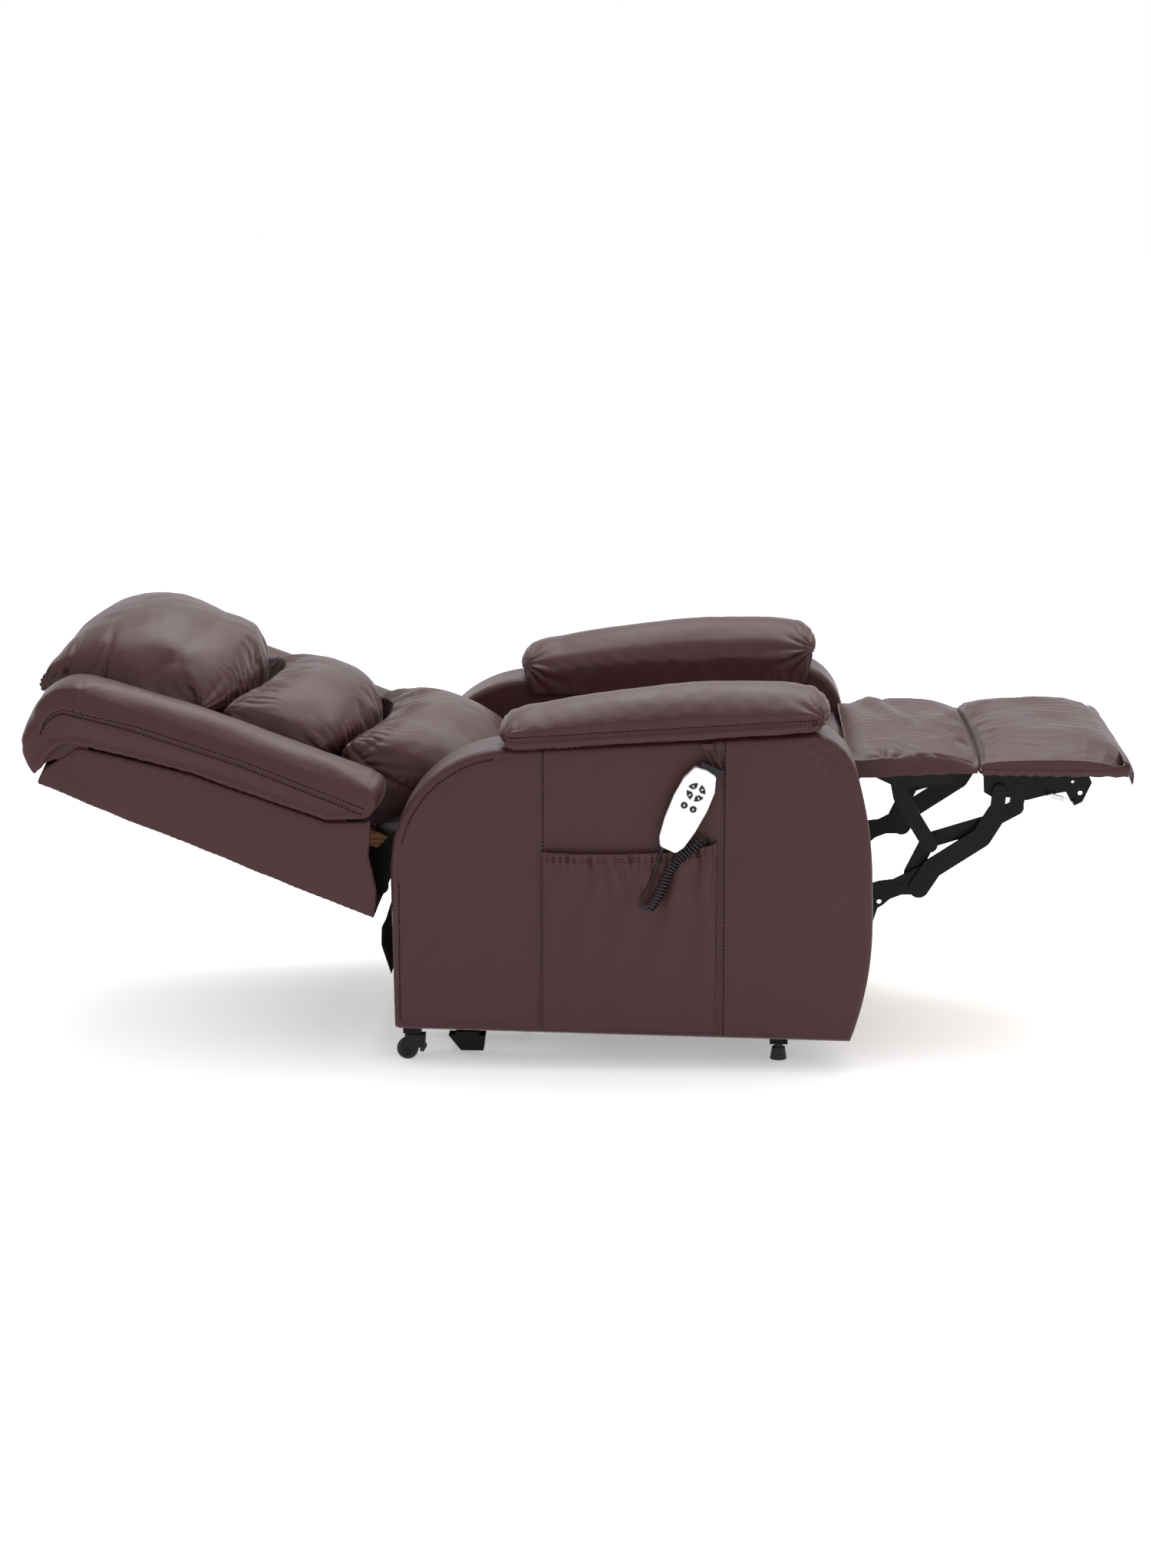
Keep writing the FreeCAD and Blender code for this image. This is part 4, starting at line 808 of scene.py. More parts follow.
relief_x = -8.0
cord_top = held_place(relief_x, -8.0)
cord_tail = held_place(relief_x, -20.0)
print("cord leaves the handset at", [round(v, 1) for v in cord_tail])

# %% [markdown]
# From there the cord hangs down in a bow, turns round, and runs up over the pocket's hem into the
# pocket. A hanging chain could be simulated, but this cord is stiff and keeps the bends it was
# packed with. So its route is a smooth curve led by a few chosen points and held at both ends.

# %% Cord route
relief_y = -406.0
cord_y = -413.5
pocket_wire_y = -397.2
cord_route = [
    (cord_top[0], relief_y, cord_top[1]), (cord_tail[0], relief_y, cord_tail[1]),
    (129.5, relief_y, 345.0), (120.5, relief_y - 2, 324.0), (105.2, relief_y - 5.5, 296.6),
    (106.2, cord_y, 287.4), (112.8, cord_y, 282.4), (121.3, cord_y, 284.5), (140.0, cord_y, 317.0),
    (148.5, cord_y, 343.0), (158.5, cord_y, 360.5), (172.0, cord_y, 374.5), (186.0, cord_y, 385.0),
    (198.0, cord_y + 1.4, 394.6), (207.4, cord_y + 6.4, 402.5), (213.7, cord_y + 13.9, 401.4),
    (216.9, pocket_wire_y + 2.4, 393.3), (213.0, pocket_wire_y, 374.1), (211.0, pocket_wire_y, 344.0),
]


def nurbs_curve(name, points, order):
    """An open NURBS curve that starts and ends at its end points."""
    curve = bpy.data.curves.new(name, "CURVE")
    curve.dimensions = "3D"
    line = curve.splines.new("NURBS")
    line.points.add(len(points) - 1)
    weighted = np.column_stack([np.array(points) * metres, np.ones(len(points))])
    line.points.foreach_set("co", weighted.astype(np.float32).ravel())
    line.order_u = order
    line.use_endpoint_u = True
    return curve


def route_line(points):
    """The smooth line of a route, as closely spaced points in millimetres."""
    curve = nurbs_curve("route", points, 3)
    curve.resolution_u = 24
    holder = bpy.data.objects.new("route", curve)
    scene.collection.objects.link(holder)
    bpy.context.view_layer.update()
    line = get_points(bpy.data.meshes.new_from_object(holder))
    bpy.data.objects.remove(holder)
    return line


smooth_route = route_line(cord_route)
print("cord route:", len(smooth_route), "points")

# %% [markdown]
# Its upper part is curled. The curls could be bent by hand, loop by loop. A helix round the route's
# own line gives them all at once, each like the next, as a cord wound on a rod has them. They swell
# over the first turn and fade over the last, so the wire runs straight into both ends.

# %% Cord curls
curl_width, curl_depth = 7.9, 6.2
curl_count = 26
curl_start, curl_end = 0.34, 0.79
curl_steps = 14
look_ahead = 1.5


def curled(line):
    """The line with an oval helix of even pitch between two shares of its length: the place on the
    line, plus depth times the cosine sideways and width times the sine upwards."""
    runs = np.concatenate([[0.0], np.cumsum(np.linalg.norm(np.diff(line, axis=0), axis=1))])
    total = runs[-1]
    start, end = total * curl_start, total * curl_end
    pitch = (end - start) / curl_count

    def at(distance):
        """The place at a distance along the line."""
        return np.stack([np.interp(distance, runs, line[:, k]) for k in range(3)], -1)

    step = np.arange(curl_count * curl_steps + 1)
    distance = start + pitch * step / curl_steps
    way = unit(at(np.minimum(distance + look_ahead, total)) - at(distance - look_ahead))
    side = unit(sideways - way * way[:, 1:2])
    up = np.cross(way, side)
    ramp = np.clip(np.minimum(distance - start, end - distance) / pitch, 0.0, 1.0)
    swell = np.sin(ramp * np.pi / 2)[:, None] ** 2
    angle = 2 * np.pi * step[:, None] / curl_steps
    turns = at(distance) + side * swell * curl_depth * np.cos(angle) + up * swell * curl_width * np.sin(angle)
    return np.vstack([at(np.linspace(0.0, start, 24)[:-1]), turns, at(np.linspace(end, total, 16)[1:])])


curled_route = curled(smooth_route)
print("curled route:", len(curled_route), "points")

# %% [markdown]
# The wire is a round bevel along that curve, and the chassis carries it.

# %% Handset lead
cord_wire = 3.4
cord_curve = nurbs_curve("handset_lead", curled_route, 3)
cord_curve.bevel_depth = cord_wire / 2 * metres
cord_curve.bevel_resolution = 3
cord_curve.resolution_u = 2
cord_curve.use_fill_caps = True
cord_curve.materials.append(finishes["cord_rubber"])
lead = bpy.data.objects.new("handset_lead", cord_curve)
scene.collection.objects.link(lead)
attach(lead, "chassis")
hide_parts("handset_cord")

# %% [markdown]
# ## Handset
# The white handset has a thin black edge between its two shells. It could be a groove in the CAD
# model, but the photograph shows it proud and dark, like a rubber bead. The bead's line is the front
# shell's outline: the convex hull of its points, seen from the side.


# %% Handset edge
def hull(flat):
    """The lower and upper half of the convex outline of flat points, each in order: a point is
    dropped where the line through it would turn inwards."""
    ordered = np.unique(np.round(flat, 2), axis=0)

    def half(points):
        """One half of the outline, along points in order."""
        chain = []
        for p in points:
            while len(chain) > 1 and np.cross(chain[-1] - chain[-2], p - chain[-2]) <= 1e-9:
                chain.pop()
            chain.append(p)
        return chain

    return half(ordered), half(ordered[::-1])


lower_half, upper_half = hull(get_points(nodes["handset_front"].data)[:, [0, 2]])
loop = np.array(lower_half[:-1] + upper_half[:-1])
loop = loop[np.linalg.norm(loop - np.roll(loop, 1, axis=0), axis=1) > 0.3]
turn = np.roll(loop, -1, axis=0) - np.roll(loop, 1, axis=0)
outward = np.stack([turn[:, 1], -turn[:, 0]], -1) / np.linalg.norm(turn, axis=1)[:, None]
bead = np.array([(-0.6, -408.2), (0.55, -408.2), (0.8, -407.4), (0.8, -406.6), (0.55, -405.8), (-0.6, -405.8),
                 (-0.6, -408.2)])
bead_line = loop[None] + outward[None] * bead[:, 0, None, None]
edge_grid = np.stack([bead_line[..., 0], np.repeat(bead[:, 1, None], len(loop), axis=1), bead_line[..., 1]], -1)
edge_ring = new_piece("handset_edge", edge_grid.reshape(-1, 3), grid_faces(len(bead), len(loop), True),
                      finishes["key_plastic"])
worn(applied(welded(edge_ring, 0.01)), "handset", None)

# %% [markdown]
# Each key shows a small white icon. Here they are plain arrows: on the four round the middle they
# point outwards, and on the two round keys up and down. A flat picture would vanish in the export,
# so each arrow is a thin raised plate.

# %% Key arrows
arrow = np.array([(-2.3, -0.5), (0.2, -0.5), (0.2, -1.6), (2.4, 0.0), (0.2, 1.6), (0.2, 0.5), (-2.3, 0.5)])
arrow_proud, arrow_sunk = 0.25, 0.15
ring_keys = ("back_up", "legs_up", "legs_down", "back_down")
cluster = np.mean([np.mean(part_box(word + "_button"), axis=0) for word in ring_keys], axis=0) / metres
upward = np.array([math.sin(handset_lean), 0.0, math.cos(handset_lean)])
corners = len(arrow)
arrow_faces = [list(range(corners)), list(range(2 * corners - 1, corners - 1, -1))] + [
    [k, (k + 1) % corners, (k + 1) % corners + corners, k + corners] for k in range(corners)]
for word in ring_keys + ("rise", "lower"):
    box = np.array(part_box(word + "_button")) / metres
    middle = box.mean(axis=0)
    way = {"rise": upward, "lower": -upward}.get(word, middle - cluster)
    way = unit((way[0], 0.0, way[2]))
    flat = middle + arrow[:, :1] * way + arrow[:, 1:] * np.cross(way, sideways)
    plate = np.vstack([flat, flat])
    plate[:, 1] = box[0, 1] + np.repeat([-arrow_proud, arrow_sunk], corners)
    mark = new_piece(word + "_arrow", plate, arrow_faces, print_finish)
    mark.data.polygons.foreach_set("use_smooth", [False] * len(arrow_faces))
    worn(mark, word + "_key", None)

# %% [markdown]
# ## Back
# The back leans by 22 degrees, so its pieces are hard to place in the chair's own X and Z. They are
# given in the back's frame instead: u runs up from the hip to the head, and n stands forward from
# the rear sheet.

# %% Back frame
hip_x, hip_z = -333.0, 255.0
lean = math.radians(22.0)
cushion_rear = 112.0
crease_end, crease_rise = 250.0, 34.0


def in_back(points):
    """Chair frame to the back's u and n: turned by the lean about the hip."""
    dx = points[:, 0] - hip_x
    dz = points[:, 2] - hip_z
    return -dx * math.cos(lean) + dz * math.sin(lean), dx * math.sin(lean) + dz * math.cos(lean)


def from_back(u, y, n):
    """The back's frame to the chair's: turned back by the lean."""
    u, y, n = np.broadcast_arrays(u, y, n)
    return np.stack([hip_x - u * math.cos(lean) + n * math.sin(lean), y,
                     hip_z + u * math.sin(lean) + n * math.cos(lean)], -1).astype(float)


up_back = from_back(1.0, 0.0, 0.0) - from_back(0.0, 0.0, 0.0)
out_back = from_back(0.0, 0.0, 1.0) - from_back(0.0, 0.0, 0.0)


def rests_on_back(points):
    """True for points near the cushions' rear faces."""
    return in_back(points)[1] < cushion_rear


def both_ends(points, height):
    """A height made for the near side, and for the far side by its mirror image."""
    return height(points) + height(points * np.array([1.0, -1.0, 1.0]))


def back_fan(points, u, y, n, count, reach, depth, seed):
    """A fan about a pinch that is given in the back's frame."""
    return fan(points, from_back(u, y, n), up_back, out_back, count, reach, depth, seed)


print("back: up is", up_back.round(3), "and out is", out_back.round(3))

# %% [markdown]
# The three cushions meet in deep creases, which sag in the middle. The CAD solids have straight
# creases. Cutting new curved ones would spoil the cloth's shape, so the finished cushion is bent:
# its points slide towards the head, most of all at both ends.


# %% Bent creases
def scalloped(piece):
    """Up by s + 34 (y / 250)^2 in the middle of the back and less towards both ends of it, and
    lower by nine hundredths of what stands past the rear face, at both sides."""
    points = get_points(piece.data)
    u, n = in_back(points)
    y = points[:, 1]
    end = np.minimum(np.abs(y) / crease_end, 1.08)
    rise = np.interp(u, [-60.0, 60.0, 380.0, 640.0], [0.0, 1.0, 1.0, 0.25])
    slide = np.interp(u, [-60.0, 110.0, 330.0, 640.0], [0.0, 8.0, 17.0, 20.0])
    set_points(piece.data, from_back(u + slide + crease_rise * rise * end ** 2, y,
                                     n - np.maximum(n - 100.0, 0.0) * 0.09 * end ** 4))
    return piece


def back_cushion(node, name, folds):
    """A cushion of the back: stuffed, with its folds raised on it, and bent."""
    piece = stuffed(node, name, rests_on_back)
    points = get_points(piece.data)
    u, n = in_back(points)
    return worn(scalloped(raised(piece, folds(points, u, n))), "backrest", node)


print("creases rise by", crease_rise, "mm towards their ends")

# %% [markdown]
# The head cushion is the fattest. Near the head end, where its case is drawn in round the corner,
# three strong pleats cross its side. The first is the deepest. Folds also run out of the pinch at
# both ends of the crease below it. Cloth under pressure gives the fat form, but no pleats where a
# maker sews them, so these are raised on it afterwards.

# %% Head cushion
head_pleat_rows = ((540.0, 5.0, 6.0, 0.22), (566.0, 4.0, 3.2, -0.12), (604.0, 5.0, 4.0, 0.1))


def head_pleats(points):
    """Fans at two pinches, and pleats: a valley with a rim beside it, along slanted lines."""
    u, n = in_back(points)
    total = back_fan(points, 628.0, -250.0, 138.0, 9.0, 62.0, 2.0, 5)
    total += back_fan(points, 352.0, -256.0, 190.0, 15.0, 70.0, 1.5, 7)
    near = within(-points[:, 1], 150.0, 70.0)
    for middle, half, depth, slant in head_pleat_rows:
        line = u - middle - slant * (n - 190.0) - 0.2 * (points[:, 1] + 220.0)
        total += near * bell(n - 190.0, 52.0) * (groove(line, half, depth)
                                                 - 0.5 * groove(line - 2.2 * half, half, depth))
    return total


def head_folds(points, u, n):
    """The pleats at both ends, gathers along the crease below, and a slow and a fine chance wave."""
    height = both_ends(points, head_pleats)
    height += gathers(points[:, 1], u - 306.0, 17.0, 42.0, 1.2, points, 11)
    return height + 1.3 * murmur(points, 150.0, 12) + 0.5 * murmur(points, 45.0, 13)


back_cushion("head_cushion", "head_pillow", head_folds)

# %% [markdown]
# The shoulder cushion is gathered into the creases above and below it, so folds run into it from
# both, and spread from the four pinches at its corners. A crease is sewn with even tension but uneven
# hands, so the gathers have one pitch and chance strengths.


# %% Shoulder cushion
def shoulder_pleats(points):
    """Fans at the pinches of both creases."""
    return (back_fan(points, 126.0, -246.0, 190.0, 17.0, 80.0, 1.9, 21)
            + back_fan(points, 318.0, -240.0, 208.0, 13.0, 66.0, 1.4, 22))


def shoulder_folds(points, u, n):
    """The fans at both ends, gathers along both creases, and a slow and a fine chance wave."""
    height = both_ends(points, shoulder_pleats)
    height += gathers(points[:, 1], u - 108.0, 13.0, 46.0, 1.7, points, 23)
    height += gathers(points[:, 1], u - 292.0, 14.0, 36.0, 1.3, points, 24)
    return height + 1.2 * murmur(points, 140.0, 25) + 0.4 * murmur(points, 40.0, 26)


back_cushion("shoulder_cushion", "shoulder_pillow", shoulder_folds)

# %% [markdown]
# The lumbar cushion shows its end, with a seam low on it that sags from the crease to the hip. A
# seam is a narrow valley, and the leather just above it is gathered. A separate welt would be too
# stiff for it, so the seam is a groove in the cushion's own surface.

# %% Lumbar cushion
lumbar_side = 196.0


def lumbar_seam(u):
    """The seam's n by u: a parabola that is lowest at u = -40."""
    return 196.0 + 0.0016 * (u + 40.0) ** 2


def lumbar_pleats(points):
    """A fan at the pinch, the seam's valley, and gathers along it."""
    u, n = in_back(points)
    total = back_fan(points, 96.0, -236.0, 206.0, 15.0, 80.0, 1.8, 31)
    side = within(-points[:, 1], lumbar_side, 24.0)
    total += side * groove(n - lumbar_seam(u), 3.4, 2.6)
    total += side * gathers(u, n - lumbar_seam(u) - 6.0, 15.0, 14.0, 0.8, points, 32)
    return total


def lumbar_folds(points, u, n):
    """The folds at both ends, gathers along the upper crease, and a slow and a fine chance wave."""
    height = both_ends(points, lumbar_pleats)
    height += gathers(points[:, 1], u - 92.0, 13.0, 44.0, 1.8, points, 33)
    return height + 1.2 * murmur(points, 150.0, 34) + 0.4 * murmur(points, 42.0, 35)


back_cushion("lumbar_cushion", "lumbar_pillow", lumbar_folds)

# %% [markdown]
# ## Bolsters
# A long roll lies along each side of the back. A tube could stand for it, but the real one is fat
# at the hip and thin at the head. So it is stuffed like a cushion. It rests on the cover's edge,
# which slants, so what is held is the lower face along a path.

# %% Bolster form
bolster_foot = np.array([(74.0, 154.0), (130.0, 127.5), (359.0, 116.5), (559.0, 88.5), (592.0, 72.0), (603.0, 34.0)])
rest_reach = 9.0


def by_the_cover(points):
    """True for points near the bolster's lower face, which lies along the cover."""
    u, n = in_back(points)
    return path_distance(u, n, bolster_foot) < rest_reach


bolster = stuffed("right_back_bolster", "right_bolster", by_the_cover, voxel=6.0, inset=4.0)
print("bolster:", len(bolster.data.vertices), "points")

# %% [markdown]
# A double seam runs along the bolster's outer face and turns round its head end by an arc, where the
# leather is gathered into it. A valley marks where the hip end is capped.

# %% Bolsters
seam_turn = np.linspace(0.0, math.radians(100.0), 12)
bolster_seam = np.vstack([[[84.0, 164.0], [300.0, 163.0], [480.0, 150.0]],
                          np.stack([584.0 + 36.0 * np.sin(seam_turn), 92.0 + 44.0 * np.cos(seam_turn)], -1)])
head_turn = (570.0, 92.0)
hip_cap = 96.0
points = get_points(bolster.data)
u, n = in_back(points)
outer = within(-points[:, 1], 352.0, 20.0)
from_seam = path_distance(u, n, bolster_seam)
around = np.degrees(np.arctan2(n - head_turn[1], u - head_turn[0]))
height = outer * groove(from_seam, 3.4, 3.0)
height += (outer * within(u, 566.0, 30.0)
           * gathers(around * 0.9, np.maximum(from_seam - 4.0, 0.0), 19.0, 40.0, 2.6, points, 41))
height += back_fan(points, 80.0, -380.0, 160.0, 12.0, 40.0, 1.2, 43)
height += 1.4 * murmur(points, 170.0, 44) + 0.4 * murmur(points, 46.0, 45)
height += groove(u - 88.0, 3.0, 1.6) * within(n, 130.0, 8.0)
height += 2.0 * within(u, 540.0, 20.0) * within(-n, -100.0, 20.0)
capped = within(-u, -hip_cap, 8.0)
worn(raised(bolster, height * (1 - 0.8 * capped)), "backrest", "right_back_bolster")
worn(other_side(bolster, "left_bolster"), "backrest", "left_back_bolster")
bolster_lines = [from_back(bolster_seam[:, 0], -393.0, bolster_seam[:, 1] + off) for off in (-4.5, 4.5)]
bolster_stitches = stitch_row("right_bolster_stitches", bolster, bolster_lines, "backrest")
worn(other_side(bolster_stitches, "left_bolster_stitches"), "backrest", None)

# %% [markdown]
# ## Back cover
# Behind and beside the back is a thin leather cover over the frame. It is stretched, so it has only
# slow waves and one seam along its foot. Remeshing the CAD shell gives it even cells to wave.

# %% Back cover
cover = remeshed(node_copy("back_shell", "back_cover", finishes["burgundy_leather"]), 4.6)
points = get_points(cover.data)
u, n = in_back(points)
facing = np.abs(get_normals(cover.data)[:, 1])
height = 0.8 * murmur(points, 210.0, 51) + 0.3 * murmur(points, 60.0, 52)
height += facing * groove(n - 9.0, 2.6, 1.2)
worn(raised(cover, height - 0.4), "backrest", "back_shell")

# %% [markdown]
# At the head end the cover turns in under the cushion, and at each corner it runs up behind the
# bolster. Without these three sheets a slit of daylight shows there, which no real chair has.

# %% Head end
closing_share = np.linspace(0.0, 1.0, 14)[:, None]
closing_u = np.interp(closing_share, [0.0, 0.4, 1.0], [596.0, 594.0, 590.0])
closing_n = 25.0 + (119.0 - 25.0) * closing_share
closing_y = np.linspace(-374.0, 374.0, 120)[None, :]
closing_grid = from_back(closing_u, closing_y, closing_n)
waves = 0.7 * murmur(closing_grid.reshape(-1, 3), 60.0, 53)
closing_grid += unit(up_back) * waves.reshape(closing_grid.shape[:2] + (1,))
worn(sheet_piece("head_end_cover", closing_grid, finishes["burgundy_leather"], 2.0), "backrest", None)

corner_u = np.linspace(540.0, 606.0, 28)[None, :]
corner_share = np.linspace(0.0, 1.0, 14)[:, None]
corner_high = np.interp(corner_u, [540.0, 575.0, 606.0], [124.0, 116.0, 84.0])
corner_low = np.interp(corner_u, [540.0, 585.0, 606.0], [60.0, 50.0, 30.0])
corner_grid = from_back(corner_u, -379.5, corner_low + (corner_high - corner_low) * corner_share)
corner_sheet = sheet_piece("right_head_corner", corner_grid, finishes["burgundy_leather"], 2.0)
worn(corner_sheet, "backrest", None)
worn(other_side(corner_sheet, "left_head_corner"), "backrest", None)

# %% [markdown]
# ## Arm pads
# The pad on each arm is a fat roll. Blown up as cloth it shrinks away from the arm and opens a slit,
# so it is shaped by a formula: its section is rounded, its ends drawn in, and on the inside it hangs
# down over the arm. One seam runs low along the outer side into a pinch at both ends.

# %% Arm pad form
pad_middle, pad_half = -335.0, 85.0
pad_rear, pad_front = -128.0, 413.0
inner_hang = 54.0


def pad_low(x):
    """Height of the pad's underside by X: a slow rise to the front."""
    return 548.0 + 0.0576 * (x + 112.0)


def pad_seam(x):
    """Height of the pad's side seam by X."""
    return 561.0 + 0.067 * (x - pad_rear)


def shaped(node, name, voxel, form=None):
    """A pad that isn't blown up: its solid remeshed evenly, moved by a form, and made finer."""
    piece = remeshed(node_copy(node, name, finishes["burgundy_leather"]), voxel)
    if form:
        set_points(piece.data, form(get_points(piece.data)))
    return finer(piece)


def rolled(points):
    """Down by 0.42 or 0.28 of the height times a power of the place across, up by a parabola in the
    middle, inwards by up to a tenth at the edges, and the lower inner edge down by the hang."""
    x, y, z = points.T
    top = np.interp(x, [pad_rear, -55.0, 170.0, 371.0, pad_front], [590.0, 600.0, 634.0, 641.0, 612.0])
    share = np.clip((z - pad_low(x)) / (top - pad_low(x)), 0, 1)
    across = (y - pad_middle) / pad_half
    end = within(x, 300.0, 113.0) ** 3 + within(-x, 60.0, 68.0) ** 3
    drop = np.where(across > 0, 0.42 * np.abs(across) ** 2.0, 0.28 * np.abs(across) ** 2.6) + 0.12 * end
    inner = within(y, -268.0, 15.0)
    inner = inner * inner * (3 - 2 * inner) * np.clip(1.0 - share, 0, 1) ** 0.9
    outer = within(-y, 400.0, 14.0) * np.clip(1.0 - share / 0.8, 0, 1)
    rear = np.interp(x, [pad_rear, pad_front], [1.0, 0.0])
    crown = (8.0 + 7.0 * rear) * (1.0 - across ** 2) * share * (1.0 - end)
    narrow = 0.07 * (1 - share) ** 2 + 0.04 * share ** 3 + 0.09 * end
    return np.stack([x, y - pad_half * across * narrow * (1 - inner),
                     z - (z - pad_low(x)) * drop + crown - inner_hang * inner - 14.0 * rear * outer], -1)


arm_pad = shaped("right_arm_pad", "right_pad", 5.0, rolled)
print("arm pad:", len(arm_pad.data.vertices), "points")

# %% [markdown]
# The folds of the pad: a valley along the seam, gathers above its rear half, gathers where the
# inside hangs, and a fan at each of the four corners, where the case is drawn together.

# %% Arm pad folds
points = get_points(arm_pad.data)
x, y, z = points.T
sides = np.clip((np.abs(y - pad_middle) - 54.0) / 14.0 + within(x, 380.0, 12.0), 0, 1)
outside = sides * within(-y, -pad_middle, 10.0)
height = outside * groove(z - pad_seam(x), 3.0, 4.0)
height += (outside * gathers(x, np.maximum(z - pad_seam(x), 0.0), 13.0, 30.0, 1.0, points, 61)
           * within(-x, -60.0, 120.0))
hanging = within(y, -290.0, 20.0) * (0.35 + within(x, 300.0, 60.0) + within(-x, 60.0, 40.0))
height += hanging * gathers(x, z - 520.0, 17.0, 34.0, 1.6, points, 68)
for pinch, way, count, reach, depth, seed in (((404.0, -400.0, 604.0), -1, 14.0, 46.0, 1.8, 62),
                                              ((404.0, -270.0, 604.0), -1, 14.0, 60.0, 2.6, 63),
                                              ((-120.0, -270.0, 572.0), 1, 14.0, 56.0, 2.4, 64),
                                              ((-118.0, -404.0, 570.0), 1, 12.0, 34.0, 1.0, 65)):
    height += fan(points, pinch, (0, 0, 1), (way, 0, 0), count, reach, depth, seed)
height += 0.7 * murmur(points, 190.0, 66) + 0.25 * murmur(points, 40.0, 67)
worn(raised(arm_pad, height), "chassis", "right_arm_pad")
worn(other_side(arm_pad, "left_pad"), "chassis", "left_arm_pad")
seam_x = np.linspace(-112.0, 398.0, 110)
pad_lines = [np.stack([seam_x, np.full(110, -421.0), pad_seam(seam_x) + 5.5], -1)]
pad_stitches = stitch_row("right_pad_stitches", arm_pad, pad_lines, "chassis")
worn(other_side(pad_stitches, "left_pad_stitches"), "chassis", None)

# %% [markdown]
# ## Side covers
# A cover is a leather skin over the arm's boards: two faces joined round the edge, and open below.
# The CAD panel could be bevelled and bumped, but its triangles are too coarse for seams. Here its
# face is a grid of columns between the panel's lower and upper outline, crowded towards the front,
# where the outline turns most.


# %% Cover grid
def outline_of(node):
    """Lower and upper outline of a node seen from the side, as points by X: the halves of its convex hull."""
    low, high = hull(get_points(nodes[node].data)[:, [0, 2]])
    return np.array(low), np.array(high)[::-1]


lower, upper = outline_of("right_side_panel")
face_y, inner_y = -391.6, -262.4
left_x, right_x = lower[0, 0], lower[-1, 0]
toe_x = 453.5
cover_rows, cover_columns = 112, 196
share = np.linspace(0.0, 1.0, cover_columns)
column_x = left_x + (right_x - left_x) * (1.0 - (1.0 - share) ** 1.35)
row_share = np.linspace(0.0, 1.0, cover_rows)[:, None]
grid_x = np.repeat(column_x[None, :], cover_rows, axis=0)
low_z = np.interp(column_x, lower[:, 0], lower[:, 1])
high_z = np.interp(column_x, upper[:, 0], upper[:, 1])
grid_z = low_z + (high_z - low_z) * row_share
from_edge = path_distance(grid_x, grid_z, np.vstack([lower[:1], upper, lower[::-1]]))
flat_points = np.stack([grid_x, np.zeros_like(grid_x), grid_z], -1).reshape(-1, 3)
print("side cover:", cover_rows, "by", cover_columns, "points,", round(float(from_edge.max())), "mm deep inside")

# %% [markdown]
# The face is slightly dished and waved, rounded over at its edge, and crossed by seams: one that
# follows the rear edge, one along the front, and two upright ones that divide it into three panels.
# A seam shows as a narrow valley with a soft ridge beside it, where the leather is doubled.


# %% Cover relief
def rounded(away, radius):
    """A quarter circle at the edge: R - sqrt(R^2 - (R - d)^2) for a distance d below the radius R."""
    short = np.clip(radius - away, 0.0, radius)
    return radius - np.sqrt(radius ** 2 - short ** 2)


panel_seams = (-61.0, 236.0)
rear_part = within(-grid_x, 96.0, 24.0)
front_part = within(grid_x, 372.0, 24.0)
dish = 1.6 * murmur(flat_points, 240.0, 71) + 0.35 * murmur(flat_points, 60.0, 72)
relief = dish.reshape(grid_x.shape) * np.clip(from_edge / 60.0, 0, 1) - 1.6
relief += rear_part * groove(from_edge - 13.0, 2.2, 2.4) + rear_part * bell(from_edge - 8.0, 3.0)
relief += front_part * groove(from_edge - 20.0, 2.6, 1.5) * np.clip((grid_z - 150.0) / 200.0, 0, 1)
for seam in panel_seams:
    relief += groove(grid_x - seam, 1.9, 3.0) + 0.9 * bell(grid_x - seam - 4.5, 2.4)
pinch = fan(flat_points, (424.0, 0.0, 552.0), (0, 0, 1), (1, 0, 0), 13.0, 46.0, 1.5, 73)
relief += pinch.reshape(grid_x.shape)
outer_y = face_y + rounded(from_edge, 12.0) - relief * np.clip(from_edge / 6.0, 0, 1)
outer_grid = np.stack([grid_x, outer_y, grid_z], -1)
inner_grid = np.stack([grid_x, inner_y - rounded(from_edge, 9.0), grid_z], -1)
print("relief:", round(float(relief.min()), 1), "to", round(float(relief.max()), 1), "mm")

# %% [markdown]
# A rim of fourteen rows joins the outer and the inner face round the edge. It is a straight blend of
# both edges, welded to them, so the cover is one skin, and then it gets its thickness inwards.

# %% Side cover pieces
rim_rows = 14


def ring_of(grid):
    """The grid's edge points in order: up the rear, along the top, down the front and back along the
    sloping toe. The bottom stays open."""
    toe = int(np.argmax(column_x >= toe_x))
    return np.vstack([grid[:, 0], grid[-1, 1:-1], grid[::-1, -1], grid[0, toe:-1][::-1]])


rim_share = np.linspace(0.0, 1.0, rim_rows)[:, None, None]
rim_grid = ring_of(outer_grid)[None] * (1 - rim_share) + ring_of(inner_grid)[None] * rim_share
faces = grid_faces(cover_rows, cover_columns)
side_points = np.vstack([outer_grid.reshape(-1, 3), inner_grid.reshape(-1, 3), rim_grid.reshape(-1, 3)])
side_faces = np.vstack([faces, faces[:, ::-1] + cover_rows * cover_columns,
                        grid_faces(*rim_grid.shape[:2]) + 2 * cover_rows * cover_columns])
side_cover = welded(new_piece("right_cover", side_points, side_faces, finishes["burgundy_leather"]), 0.02)
skin = side_cover.modifiers.new("skin", "SOLIDIFY")
skin.thickness = 4.0 * metres
skin.offset = -1.0
worn(applied(side_cover), "chassis", "right_side_panel")
worn(other_side(side_cover, "left_cover"), "chassis", "left_side_panel")

# %% [markdown]
# Two rows of stitches follow the rear edge, and one stands beside each upright seam.


